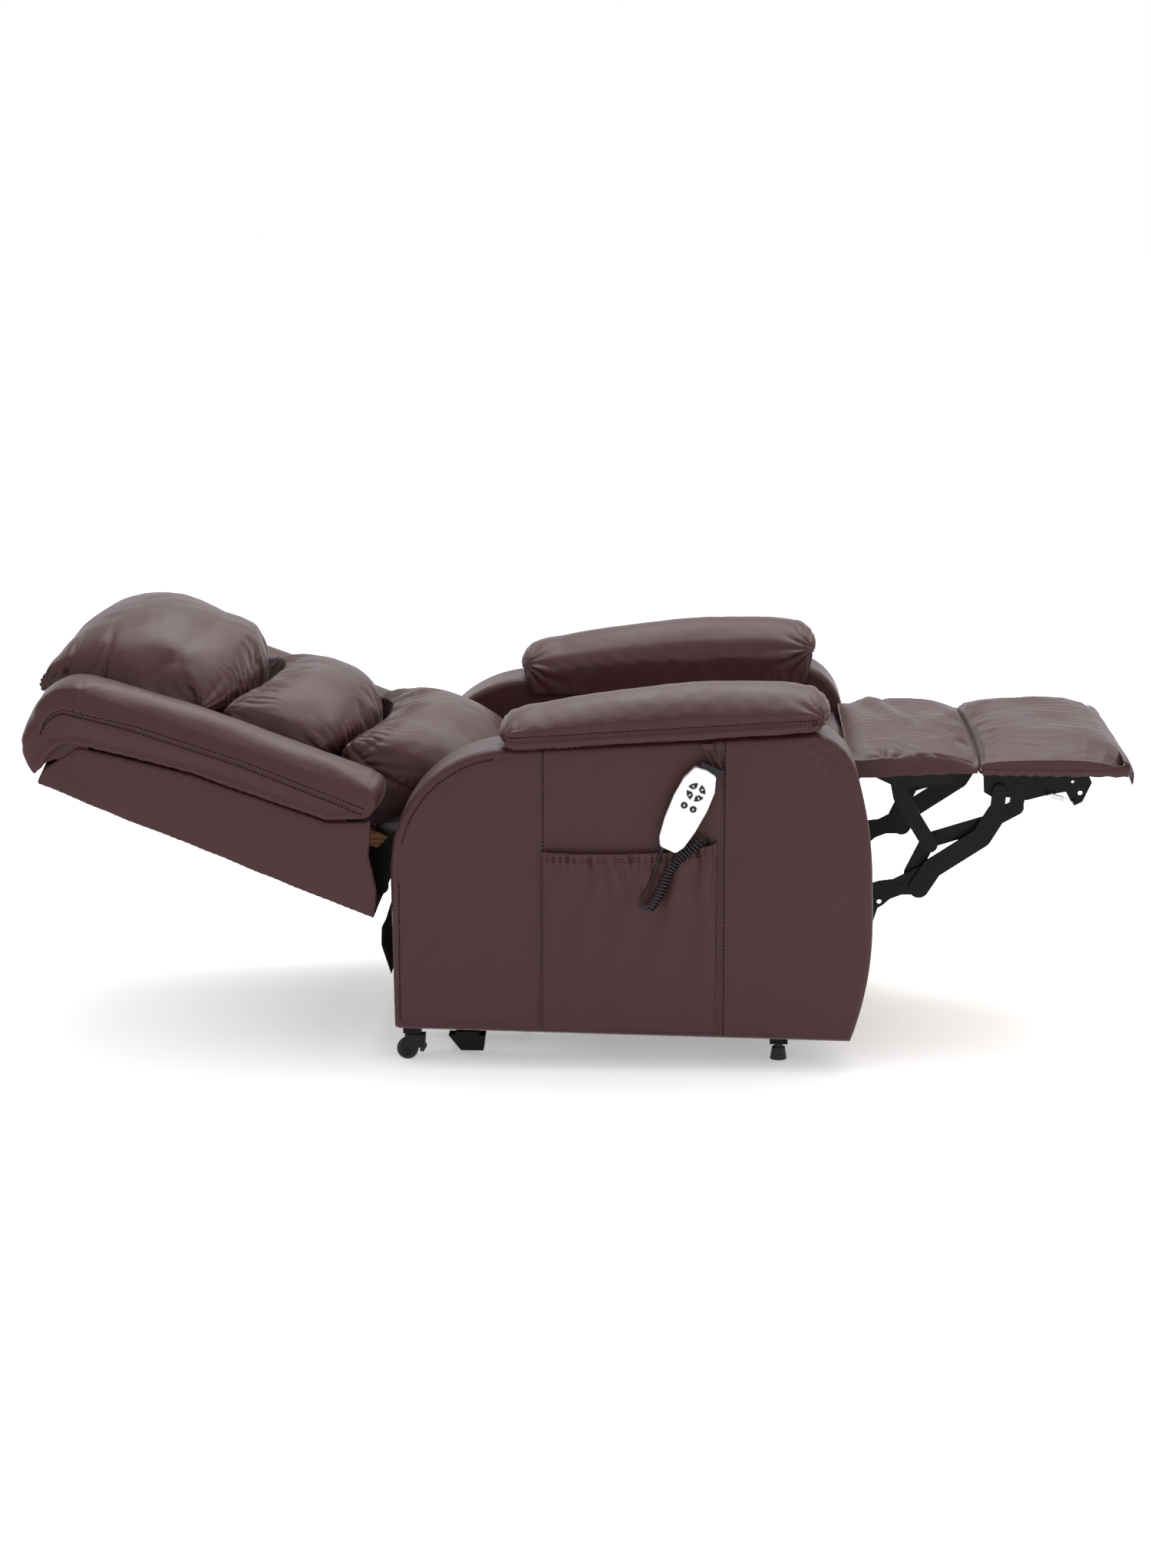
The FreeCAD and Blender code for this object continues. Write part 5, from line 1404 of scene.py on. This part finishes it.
# %% Cover stitches
def inside_edge(away, x_low, x_high):
    """A line that runs a set distance inside the upper outline: the outline moved along its normal."""
    xs = np.linspace(x_low, x_high, 160)
    zs = np.interp(xs, upper[:, 0], upper[:, 1])
    slope = np.gradient(zs, xs)
    size = np.hypot(slope, 1.0)
    return np.stack([xs + slope / size * away, np.full(160, face_y), zs - away / size], -1)


border = 14.5
rear_rise = np.stack([np.full(60, left_x + border), np.full(60, face_y), np.linspace(86.0, 326.0, 60)], -1)
cover_lines = [rear_rise, inside_edge(border, left_x + 0.5, -134.0)[4:]]
for seam in panel_seams:
    low = np.interp(seam, lower[:, 0], lower[:, 1]) + 4.0
    high = 548.0 + (seam + 61.0) * 0.058
    cover_lines.append(np.array([[seam + 6.5, face_y, low], [seam + 6.5, face_y, high]]))
cover_stitches = stitch_row("right_cover_stitches", side_cover, cover_lines, "chassis")
worn(other_side(cover_stitches, "left_cover_stitches"), "chassis", None)

# %% [markdown]
# ## Pocket
# The pocket is a sheet sewn down at its sides and foot, with an elastic hem that puckers it. It
# could be simulated as hanging cloth, but it hardly hangs: it stands off the cover by a few
# millimetres, more towards the hem. So its stand off the cover is a formula over a grid, whose upper
# edge follows the hem.

# %% Pocket grid
pocket_left, pocket_right, pocket_low = -57.0, 231.0, 71.0
pocket_count = 150
hem_x = np.array([-58.0, 4.0, 71.0, 129.0, 165.0, 190.0, 213.0, 232.0])
hem_z = np.array([377.0, 374.4, 375.0, 377.5, 379.5, 384.5, 389.5, 395.0])
wide = np.linspace(pocket_left, pocket_right, pocket_count)
tall = np.linspace(0.0, 1.0, pocket_count)[:, None]
hem = np.interp(wide, hem_x, hem_z)
pocket_x = np.repeat(wide[None, :], pocket_count, axis=0)
pocket_z = pocket_low + (hem - pocket_low) * tall
below = hem - pocket_z
flat_points = np.stack([pocket_x, np.zeros_like(pocket_x), pocket_z], -1).reshape(-1, 3)
print("pocket:", round(float(hem.min())), "to", round(float(hem.max())), "mm high at its hem")

# %% [markdown]
# The stand is the room for the hand, which grows towards the hem and shrinks to nothing at the
# sides, plus slow drapes, tight puckers under the hem and soft folds below them.


# %% Pocket relief
def over_pocket(size, seed):
    """Chance waves over the pocket's grid."""
    return murmur(flat_points, size, seed).reshape(pocket_x.shape)


from_side = np.minimum(pocket_x - pocket_left, pocket_right - pocket_x)
body_room = np.clip(from_side / 13.0, 0, 1) ** 0.7
drape = 4.4 * np.sin(2 * np.pi * (pocket_x - 40.0 + 0.35 * below) * (0.75 + 0.25 * tall) / 56.0
                     + 1.8 * over_pocket(190.0, 81))
under_hem = np.maximum(below - 10.0, 0.0)
puckers = 2.0 * bell(under_hem, 17.0) * ridges(2 * np.pi * pocket_x / 12.5 + 1.3 * over_pocket(60.0, 82))
folds = gathers(pocket_x.ravel(), under_hem.ravel(), 37.0, 70.0, 2.2, flat_points, 84).reshape(pocket_x.shape)
stand = 1.2 + 8.4 * body_room * (0.12 + 0.88 * tall ** 0.8)
stand += drape * np.clip(below / 60.0, 0, 1) * np.clip(tall * 1.6, 0, 1) * body_room
stand += (puckers + folds) * body_room
stand += groove(below - 12.5, 2.0, 1.0) + 0.6 * over_pocket(70.0, 83) * body_room
stand += 2.2 * bell(below, 14.0) * body_room
stand = np.clip(stand, 1.2, 12.8)
print("pocket stands off the cover by", round(float(stand.min()), 1), "to", round(float(stand.max()), 1), "mm")

# %% [markdown]
# The hem has two rows of short stitches, and the sides one each.

# %% Pocket
roll = np.clip(1.0 - below / 2.5, 0, 1)
pocket_grid = np.stack([pocket_x, face_y - stand, pocket_z - 0.8 * roll], -1)
pocket = sheet_piece("pocket", pocket_grid, finishes["burgundy_leather"], 2.0)
worn(pocket, "chassis", "side_pocket")
hem_lines = [np.stack([wide, np.full(pocket_count, face_y - 12.0), hem - drop], -1)[4:-4] for drop in (9.5, 15.5)]
edge_z = np.linspace(pocket_low + 5.0, 372.0, 60)
for edge in (pocket_left + 2.5, pocket_right - 2.5):
    hem_lines.append(np.stack([np.full(60, edge), np.full(60, face_y - 4.0), edge_z], -1))
stitch_row("pocket_stitches", pocket, hem_lines, "chassis", 3.8, 1.8, 0.9)

# %% [markdown]
# ## Strap
# The handset hangs in a narrow strap of the same leather. The CAD strap has the right form, so it
# only gets the small unevenness of a hand-cut strip.

# %% Strap
strap = remeshed(node_copy("handset_strap", "strap", finishes["burgundy_leather"]), 0.9)
points = get_points(strap.data)
worn(raised(strap, 0.12 * murmur(points, 9.0, 91) - 0.1), "chassis", "handset_strap")

# %% [markdown]
# ## Seat
# Only the front edge of the seat shows beside the arms. It is firm foam, which keeps its form, so
# like the arm pads it isn't blown up. It has one seam round its sides, faint gathers over its front
# edge and shallow waves on top.

# %% Seat cushion
seat = shaped("seat_cushion", "seat_pad", 6.5)
points = get_points(seat.data)
x, y, z = points.T
on_sides = np.clip((np.abs(y) - 236.0) / 6.0 + within(x, 446.0, 6.0), 0, 1)
height = groove(z - 452.0, 3.5, 2.0) * on_sides
height += gathers(y, x - 452.0, 23.0, 30.0, 0.7, points, 101) * within(z, 440.0, 30.0)
height += 1.4 * murmur(points, 160.0, 102) + 0.4 * murmur(points, 44.0, 103)
worn(raised(seat, height), "chassis", "seat_cushion")

# %% [markdown]
# ## Legrest
# The two leg pads are soft cases on boards. As cloth they draw in and leave gaps to the seat and to
# each other. So each is a closed form between an upper and a lower height over a grid. The grid's
# rows and columns are crowded towards the edges, where the pads turn down.


# %% Leg pad tools
def height_piece(name, x, y, top, low):
    """A closed form between two heights over a grid of places. Its wall is a straight blend of the
    rings round both edges, and the lower height stays below the upper one."""
    upper_grid = np.stack([x, y, top], -1)
    lower_grid = np.stack([x, y, np.minimum(low, top - 0.8)], -1)
    rows, columns = x.shape

    def ring(grid):
        """The grid's edge points in order, all the way round."""
        return np.vstack([grid[:, 0], grid[-1, 1:], grid[-2::-1, -1], grid[0, -2:0:-1]])

    share = np.linspace(0.0, 1.0, 6)[:, None, None]
    walls = ring(upper_grid)[None] * (1 - share) + ring(lower_grid)[None] * share
    faces = grid_faces(rows, columns)
    points = np.vstack([upper_grid.reshape(-1, 3), lower_grid.reshape(-1, 3), walls.reshape(-1, 3)])
    faces = np.vstack([faces, faces[:, ::-1] + rows * columns,
                       grid_faces(6, walls.shape[1], True)[:, ::-1] + 2 * rows * columns])
    piece = applied(welded(new_piece(name, points, faces, finishes["burgundy_leather"]), 0.01))
    shell = bmesh.new()
    shell.from_mesh(piece.data)
    bmesh.ops.recalc_face_normals(shell, faces=shell.faces)
    shell.to_mesh(piece.data)
    shell.free()
    return smooth(piece)


def crowded(low, high, count, power=0.6):
    """Places from low to high, closer together towards both ends: 1 - (1 - t)^(1 / power) each way."""
    t = np.linspace(-1.0, 1.0, count)
    return low + (high - low) * (0.5 + 0.5 * np.sign(t) * (1.0 - (1.0 - np.abs(t)) ** (1.0 / power)))


def over_grid(points, shape, *waves):
    """The sum of chance waves, each a strength, a size and a seed, over a grid of places."""
    return sum(strength * murmur(points, size, seed) for strength, size, seed in waves).reshape(shape)


leg_bow = 6.0
print("crowded columns:", crowded(0.0, 1.0, 5).round(3))

# %% [markdown]
# The calf pad reaches back to the seat, over the hinge. It bellies between two edges and falls
# towards both sides. A long diagonal fold crosses it, folds fan from its rear corners, and its
# front is gathered into the dark seam between the pads, which bends forward in the middle.

# %% Calf pad top
calf_rear, calf_front, calf_half = 450.0, 662.6, 261.2
calf_x, calf_y = np.meshgrid(crowded(calf_rear, calf_front, 200), crowded(-calf_half, calf_half, 260), indexing="ij")
share = (calf_x - calf_rear) / (calf_front - calf_rear)
flat_points = np.stack([calf_x, calf_y, np.zeros_like(calf_x)], -1).reshape(-1, 3)
flat_x, flat_y = flat_points[:, 0], flat_points[:, 1]
calf_top = 503.0 + 24.0 * (1.0 - np.abs(2.0 * share - 1.0) ** 3.4)
fall = np.clip((np.abs(calf_y) - 160.0) / 101.2, 0, 1)
calf_top = calf_top - (calf_top - 496.0) * 0.62 * fall ** 2.2
diagonal = np.array([[498.0, 240.0], [528.0, 90.0], [566.0, -60.0], [632.0, -130.0]])
ridge = path_distance(calf_x, calf_y, diagonal)
ripple = gathers(flat_y + 0.0012 * (flat_x - 560.0) ** 2, flat_x - 668.0, 11.0, 74.0, 1.3, flat_points, 114)
ripple += gathers(flat_y + 0.5 * flat_x, flat_x - 540.0, 27.0, 60.0, 1.1, flat_points, 115)
ripple += fan(flat_points, (512.0, -268.0, 0.0), (0, 1, 0), (1, 0, 0), 7.0, 80.0, 4.0, 112)
ripple += fan(flat_points, (508.0, 266.0, 0.0), (0, 1, 0), (1, 0, 0), 6.0, 84.0, 1.6, 113)
folds = 4.6 * bell(ridge, 15.0) - 2.2 * bell(ridge - 24.0, 12.0) + ripple.reshape(calf_x.shape)
folds += over_grid(flat_points, calf_x.shape, (1.2, 120.0, 116), (0.3, 34.0, 117))
from_rim = np.minimum(np.minimum(calf_x - calf_rear, calf_front - calf_x), calf_half - np.abs(calf_y))
calf_top = calf_top + folds * np.clip(from_rim / 12.0, 0.15, 1)
print("calf pad: top at", round(float(calf_top.max())), "mm, folds up to", round(float(folds.max()), 1), "mm")

# %% [markdown]
# Its underside follows what it lies on: the seat's front edge, then the hinge arms at both sides,
# then the board. At the rim it hangs down over the arms like a short curtain. The pad stretches
# across the hinge, from the seat frame to the flap, and the flap's CAD cushion is hidden.

# %% Calf pad
calf_low = np.interp(calf_x, [450.0, 459.0, 461.5, 491.0, 493.0, 496.0, 662.0],
                     [500.5, 499.5, 474.0, 478.0, 488.5, 488.0, 498.0])
calf_top = np.maximum(calf_top, calf_low + 4.0)
over_arm = within(np.abs(calf_y), 248.0, 3.0) * within(-calf_x, -520.0, 16.0)
calf_low = calf_low * (1 - over_arm) + 502.6 * over_arm
calf_top = np.maximum(calf_top, calf_low + 2.0)
edge_z = np.interp(calf_x, [461.0, 662.0], [474.5, 484.5])
edge_z = edge_z + 0.8 * np.sin(calf_x / 9.0 + 2.0 * np.sin(calf_x / 31.0))
edge_start = np.interp(calf_x, [516.0, 545.0], [258.2, 236.0])
round_off = np.clip((np.abs(calf_y) - edge_start) / (calf_half - edge_start), 0, 1)
round_off = round_off ** np.interp(calf_x, [505.0, 545.0], [7.0, 2.4])
calf_top = calf_top * (1 - round_off) + (edge_z + 8.0) * round_off
hanging = within(np.abs(calf_y), 259.2, 1.2)
calf_low = calf_low * (1 - hanging) + edge_z * hanging
calf_shift = leg_bow * np.cos(np.pi * calf_y / 540.0) * within(calf_x, 600.0, 62.0)
calf = height_piece("calf_pad", calf_x + calf_shift, calf_y, calf_top, calf_low)
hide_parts("flap_cushion")
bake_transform(calf)
print(calf.name, "from chassis to flap with", len(calf.data.polygons), "faces")

# %% [markdown]
# The foot pad is longer and fatter, and narrows at its far corners. It is gathered along the same
# seam, and long shallow waves run lengthwise over its top.

# %% Foot pad
foot_rear, foot_front, foot_half = 664.6, 915.5, 258.0
foot_x, foot_y = np.meshgrid(crowded(foot_rear, foot_front, 210), crowded(-foot_half, foot_half, 230), indexing="ij")
foot_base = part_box("footrest_cushion")[0][2] / metres
flat_points = np.stack([foot_x, foot_y, np.zeros_like(foot_x)], -1).reshape(-1, 3)
flat_x, flat_y = flat_points[:, 0], flat_points[:, 1]
foot_top = np.interp(foot_x, [664.6, 668.0, 676.0, 700.0, 740.0, 800.0, 850.0, 885.0, 905.0, 915.5],
                     [499.0, 508.0, 518.0, 528.0, 534.0, 537.0, 534.0, 525.0, 513.0, 500.0])
fall = np.clip((np.abs(foot_y) - 140.0) / 118.0, 0, 1)
foot_top = foot_top - (foot_top - foot_base - 3.0) * 0.7 * fall ** 2.4
ripple = gathers(flat_y + 0.0009 * (flat_x - 760.0) ** 2, flat_x - 662.0, 10.0, 60.0, 1.3, flat_points, 121)
ripple += gathers(flat_y - 0.0006 * (flat_x - 760.0) ** 2, flat_x - 800.0, 23.0, 130.0, 1.0, flat_points, 122)
folds = ripple.reshape(foot_x.shape) + over_grid(flat_points, foot_x.shape, (1.3, 130.0, 123), (0.3, 36.0, 124))
from_rim = np.minimum(np.minimum(foot_x - foot_rear, foot_front - foot_x), foot_half - np.abs(foot_y))
foot_top = np.maximum(foot_top + folds * np.clip(from_rim / 14.0, 0.1, 1), foot_base + 2.5)
foot_shift = leg_bow * np.cos(np.pi * foot_y / 540.0) * within(-foot_x, -726.0, 62.0)
foot_shift = foot_shift - 26.0 * (np.abs(foot_y) / foot_half) ** 7 * np.clip((foot_x - 800.0) / 115.0, 0, 1)
foot_pad = height_piece("foot_pad", foot_x + foot_shift, foot_y, foot_top, np.full(foot_x.shape, foot_base))
worn(foot_pad, "footrest", "footrest_cushion")

# %% [markdown]
# Leather is pulled over the foot board's edges and stapled below. Along both sides that is a band
# with a puckered lower edge. A strip of the pad's own mesh could be pulled down instead, but then
# its pucker would need many more points over the whole pad.


# %% Foot bands
def band(name, body, x_ends, top_ends, low_ends, side, bulge, pucker, seed):
    """A sheet between an upper line and a wavy lower line, bulging between them by a half sine."""
    along = np.linspace(0.0, 1.0, 110)
    across = np.linspace(0.0, 1.0, 14)[:, None]
    xs = np.repeat((x_ends[0] + (x_ends[1] - x_ends[0]) * along)[None, :], 14, axis=0)
    top_z = top_ends[0] + (top_ends[1] - top_ends[0]) * along
    low_z = low_ends[0] + (low_ends[1] - low_ends[0]) * along
    low_z = low_z + pucker * np.sin(2 * np.pi * xs[0] / 27.0 + 2.0 * np.sin(xs[0] / 31.0 + seed))
    zs = top_z + (low_z - top_z) * across
    flat = np.stack([xs, np.zeros_like(xs), zs], -1).reshape(-1, 3)
    wave = gathers(xs.ravel(), (zs - low_z).ravel(), 13.0, 9.0, 0.7, flat, seed).reshape(xs.shape)
    ys = side + np.sign(side) * (bulge * np.sin(np.pi * across) + wave)
    piece = sheet_piece(name, np.stack([xs, ys, zs], -1), finishes["burgundy_leather"], 1.8)
    return worn(piece, body, None)


for word, sign in (("right", -1.0), ("left", 1.0)):
    band(word + "_foot_band", "footrest", (671.0, 912.0), (496.0, 497.0), (479.4, 478.0), sign * 252.4, 3.4, 0.9, 133)

# %% [markdown]
# At the far end the leather is a lip over the board's front edge. It rounds the edge through four
# places, and stands a little open and lower at its corners, where it is cut and folded.

# %% Foot lip
lip_y = np.repeat(np.linspace(-257.0, 257.0, 170)[None, :], 16, axis=0)
lip_t = np.linspace(0.0, 1.0, 16)[:, None] + 0 * lip_y
corner = np.clip((np.abs(lip_y) - 214.0) / 43.0, 0, 1) ** 2
lip_x = np.interp(lip_t, [0.0, 0.3, 0.6, 1.0], [903.0, 914.0, 917.5, 914.5]) + 5.0 * corner * lip_t
lip_z = np.interp(lip_t, [0.0, 0.3, 0.6, 1.0], [509.0, 504.0, 493.0, 477.0]) - corner * (4.0 + 7.0 * lip_t)
flat_points = np.stack([lip_x, lip_y, lip_z], -1).reshape(-1, 3)
lip_x = lip_x + over_grid(flat_points, lip_x.shape, (0.9, 34.0, 137)) * lip_t
lip = sheet_piece("foot_lip", np.stack([lip_x, lip_y, lip_z], -1), finishes["burgundy_leather"], 2.0)
worn(lip, "footrest", None)

# %% [markdown]
# ## Lining
# A strip of dark cloth is stretched behind the seat box, below the foot of the back. It is held at
# both ends, so it is nearly flat. Its profile is three points in X and Z, and slow waves of less
# than a millimetre keep it from looking like a plate.

# %% Lining
lining_profile = np.array([(-322.4, 238.0), (-322.3, 209.0), (-308.4, 159.5)])
lining_runs = np.array([0.0, 29.0, 80.4])
lining_half = 371.0
down = np.linspace(0.0, lining_runs[-1], 30)[:, None]
over = np.repeat(np.linspace(-lining_half, lining_half, 160)[None, :], 30, axis=0)
lining_x = np.interp(down, lining_runs, lining_profile[:, 0]) + 0 * over
lining_z = np.interp(down, lining_runs, lining_profile[:, 1]) + 0 * over
flat_points = np.stack([lining_x, over, lining_z], -1).reshape(-1, 3)
lining_x = lining_x + over_grid(flat_points, over.shape, (0.7, 80.0, 141))
lining = sheet_piece("lining", np.stack([lining_x, over, lining_z], -1), finishes["lining_cloth"], 1.0)
worn(lining, "chassis", "rear_lining")

# %% [markdown]
# ## Floor
# The photograph has a white floor that fades into a white wall, with a soft shadow under the chair.
# A curved studio wall would need a seam somewhere. A very large white floor that glows a little
# meets the white world without one, and still takes the shadow.

# %% Floor
floor_reach = 30000.0
floor_drop = -0.4
floor_glow = 0.34
floor_surface = Surface("floor_paint", Specular_IOR_Level=0.2, Emission_Color=(1.0, 1.0, 1.0, 1.0),
                        Emission_Strength=floor_glow)
floor_tone = noise(floor_surface, 700.0)
floor_paint = floor_surface.wear(floor_tone.colours((0.3, (0.90, 0.90, 0.90)), (0.7, (0.93, 0.93, 0.93))),
                                 floor_tone.between(0.3, 0.7, 0.75, 0.85), noise(floor_surface, 4.0), 0.05, 0.3)
floor_corners = [(-floor_reach, -floor_reach, floor_drop), (floor_reach, -floor_reach, floor_drop),
                 (floor_reach, floor_reach, floor_drop), (-floor_reach, floor_reach, floor_drop)]
new_piece("floor", floor_corners, [(0, 1, 2, 3)], floor_paint)
print("floor:", round(2 * floor_reach * metres), "m wide")

# %% [markdown]
# ## Light
# The light is even from everywhere, as in a white tent, with one large soft box above, a little
# behind the chair. It gives the tops of the pads their pale shine. A weak one at the camera's side
# keeps the panel from going flat. Small lamps would draw hard edges on the leather's folds.

# %% Light
world = bpy.data.worlds.new("studio")
world.use_nodes = True
world.node_tree.nodes["Background"].inputs["Color"].default_value = (1.0, 1.0, 1.0, 1.0)
world.node_tree.nodes["Background"].inputs["Strength"].default_value = 1.0
scene.world = world


def softbox(name, place, aim, wide, tall, power):
    """A rectangular area light at a place, turned towards its aim."""
    data = bpy.data.lights.new(name, "AREA")
    data.shape = "RECTANGLE"
    data.size = wide
    data.size_y = tall
    data.energy = power
    lamp = bpy.data.objects.new(name, data)
    lamp.location = place
    lamp.rotation_euler = (Vector(aim) - Vector(place)).to_track_quat("-Z", "Y").to_euler()
    scene.collection.objects.link(lamp)
    print(name, "of", power, "W at", place)


softbox("top_box", (0.4, 0.9, 3.0), (0.1, 0.0, 0.5), 3.0, 2.2, 84.0)
softbox("side_box", (1.6, -3.4, 1.9), (0.0, -0.2, 0.5), 2.0, 1.6, 8.0)

# %% [markdown]
# ## Sizes
# Leather may stand a little proud of the CAD model, but the chair's size doesn't change.

# %% [markdown]
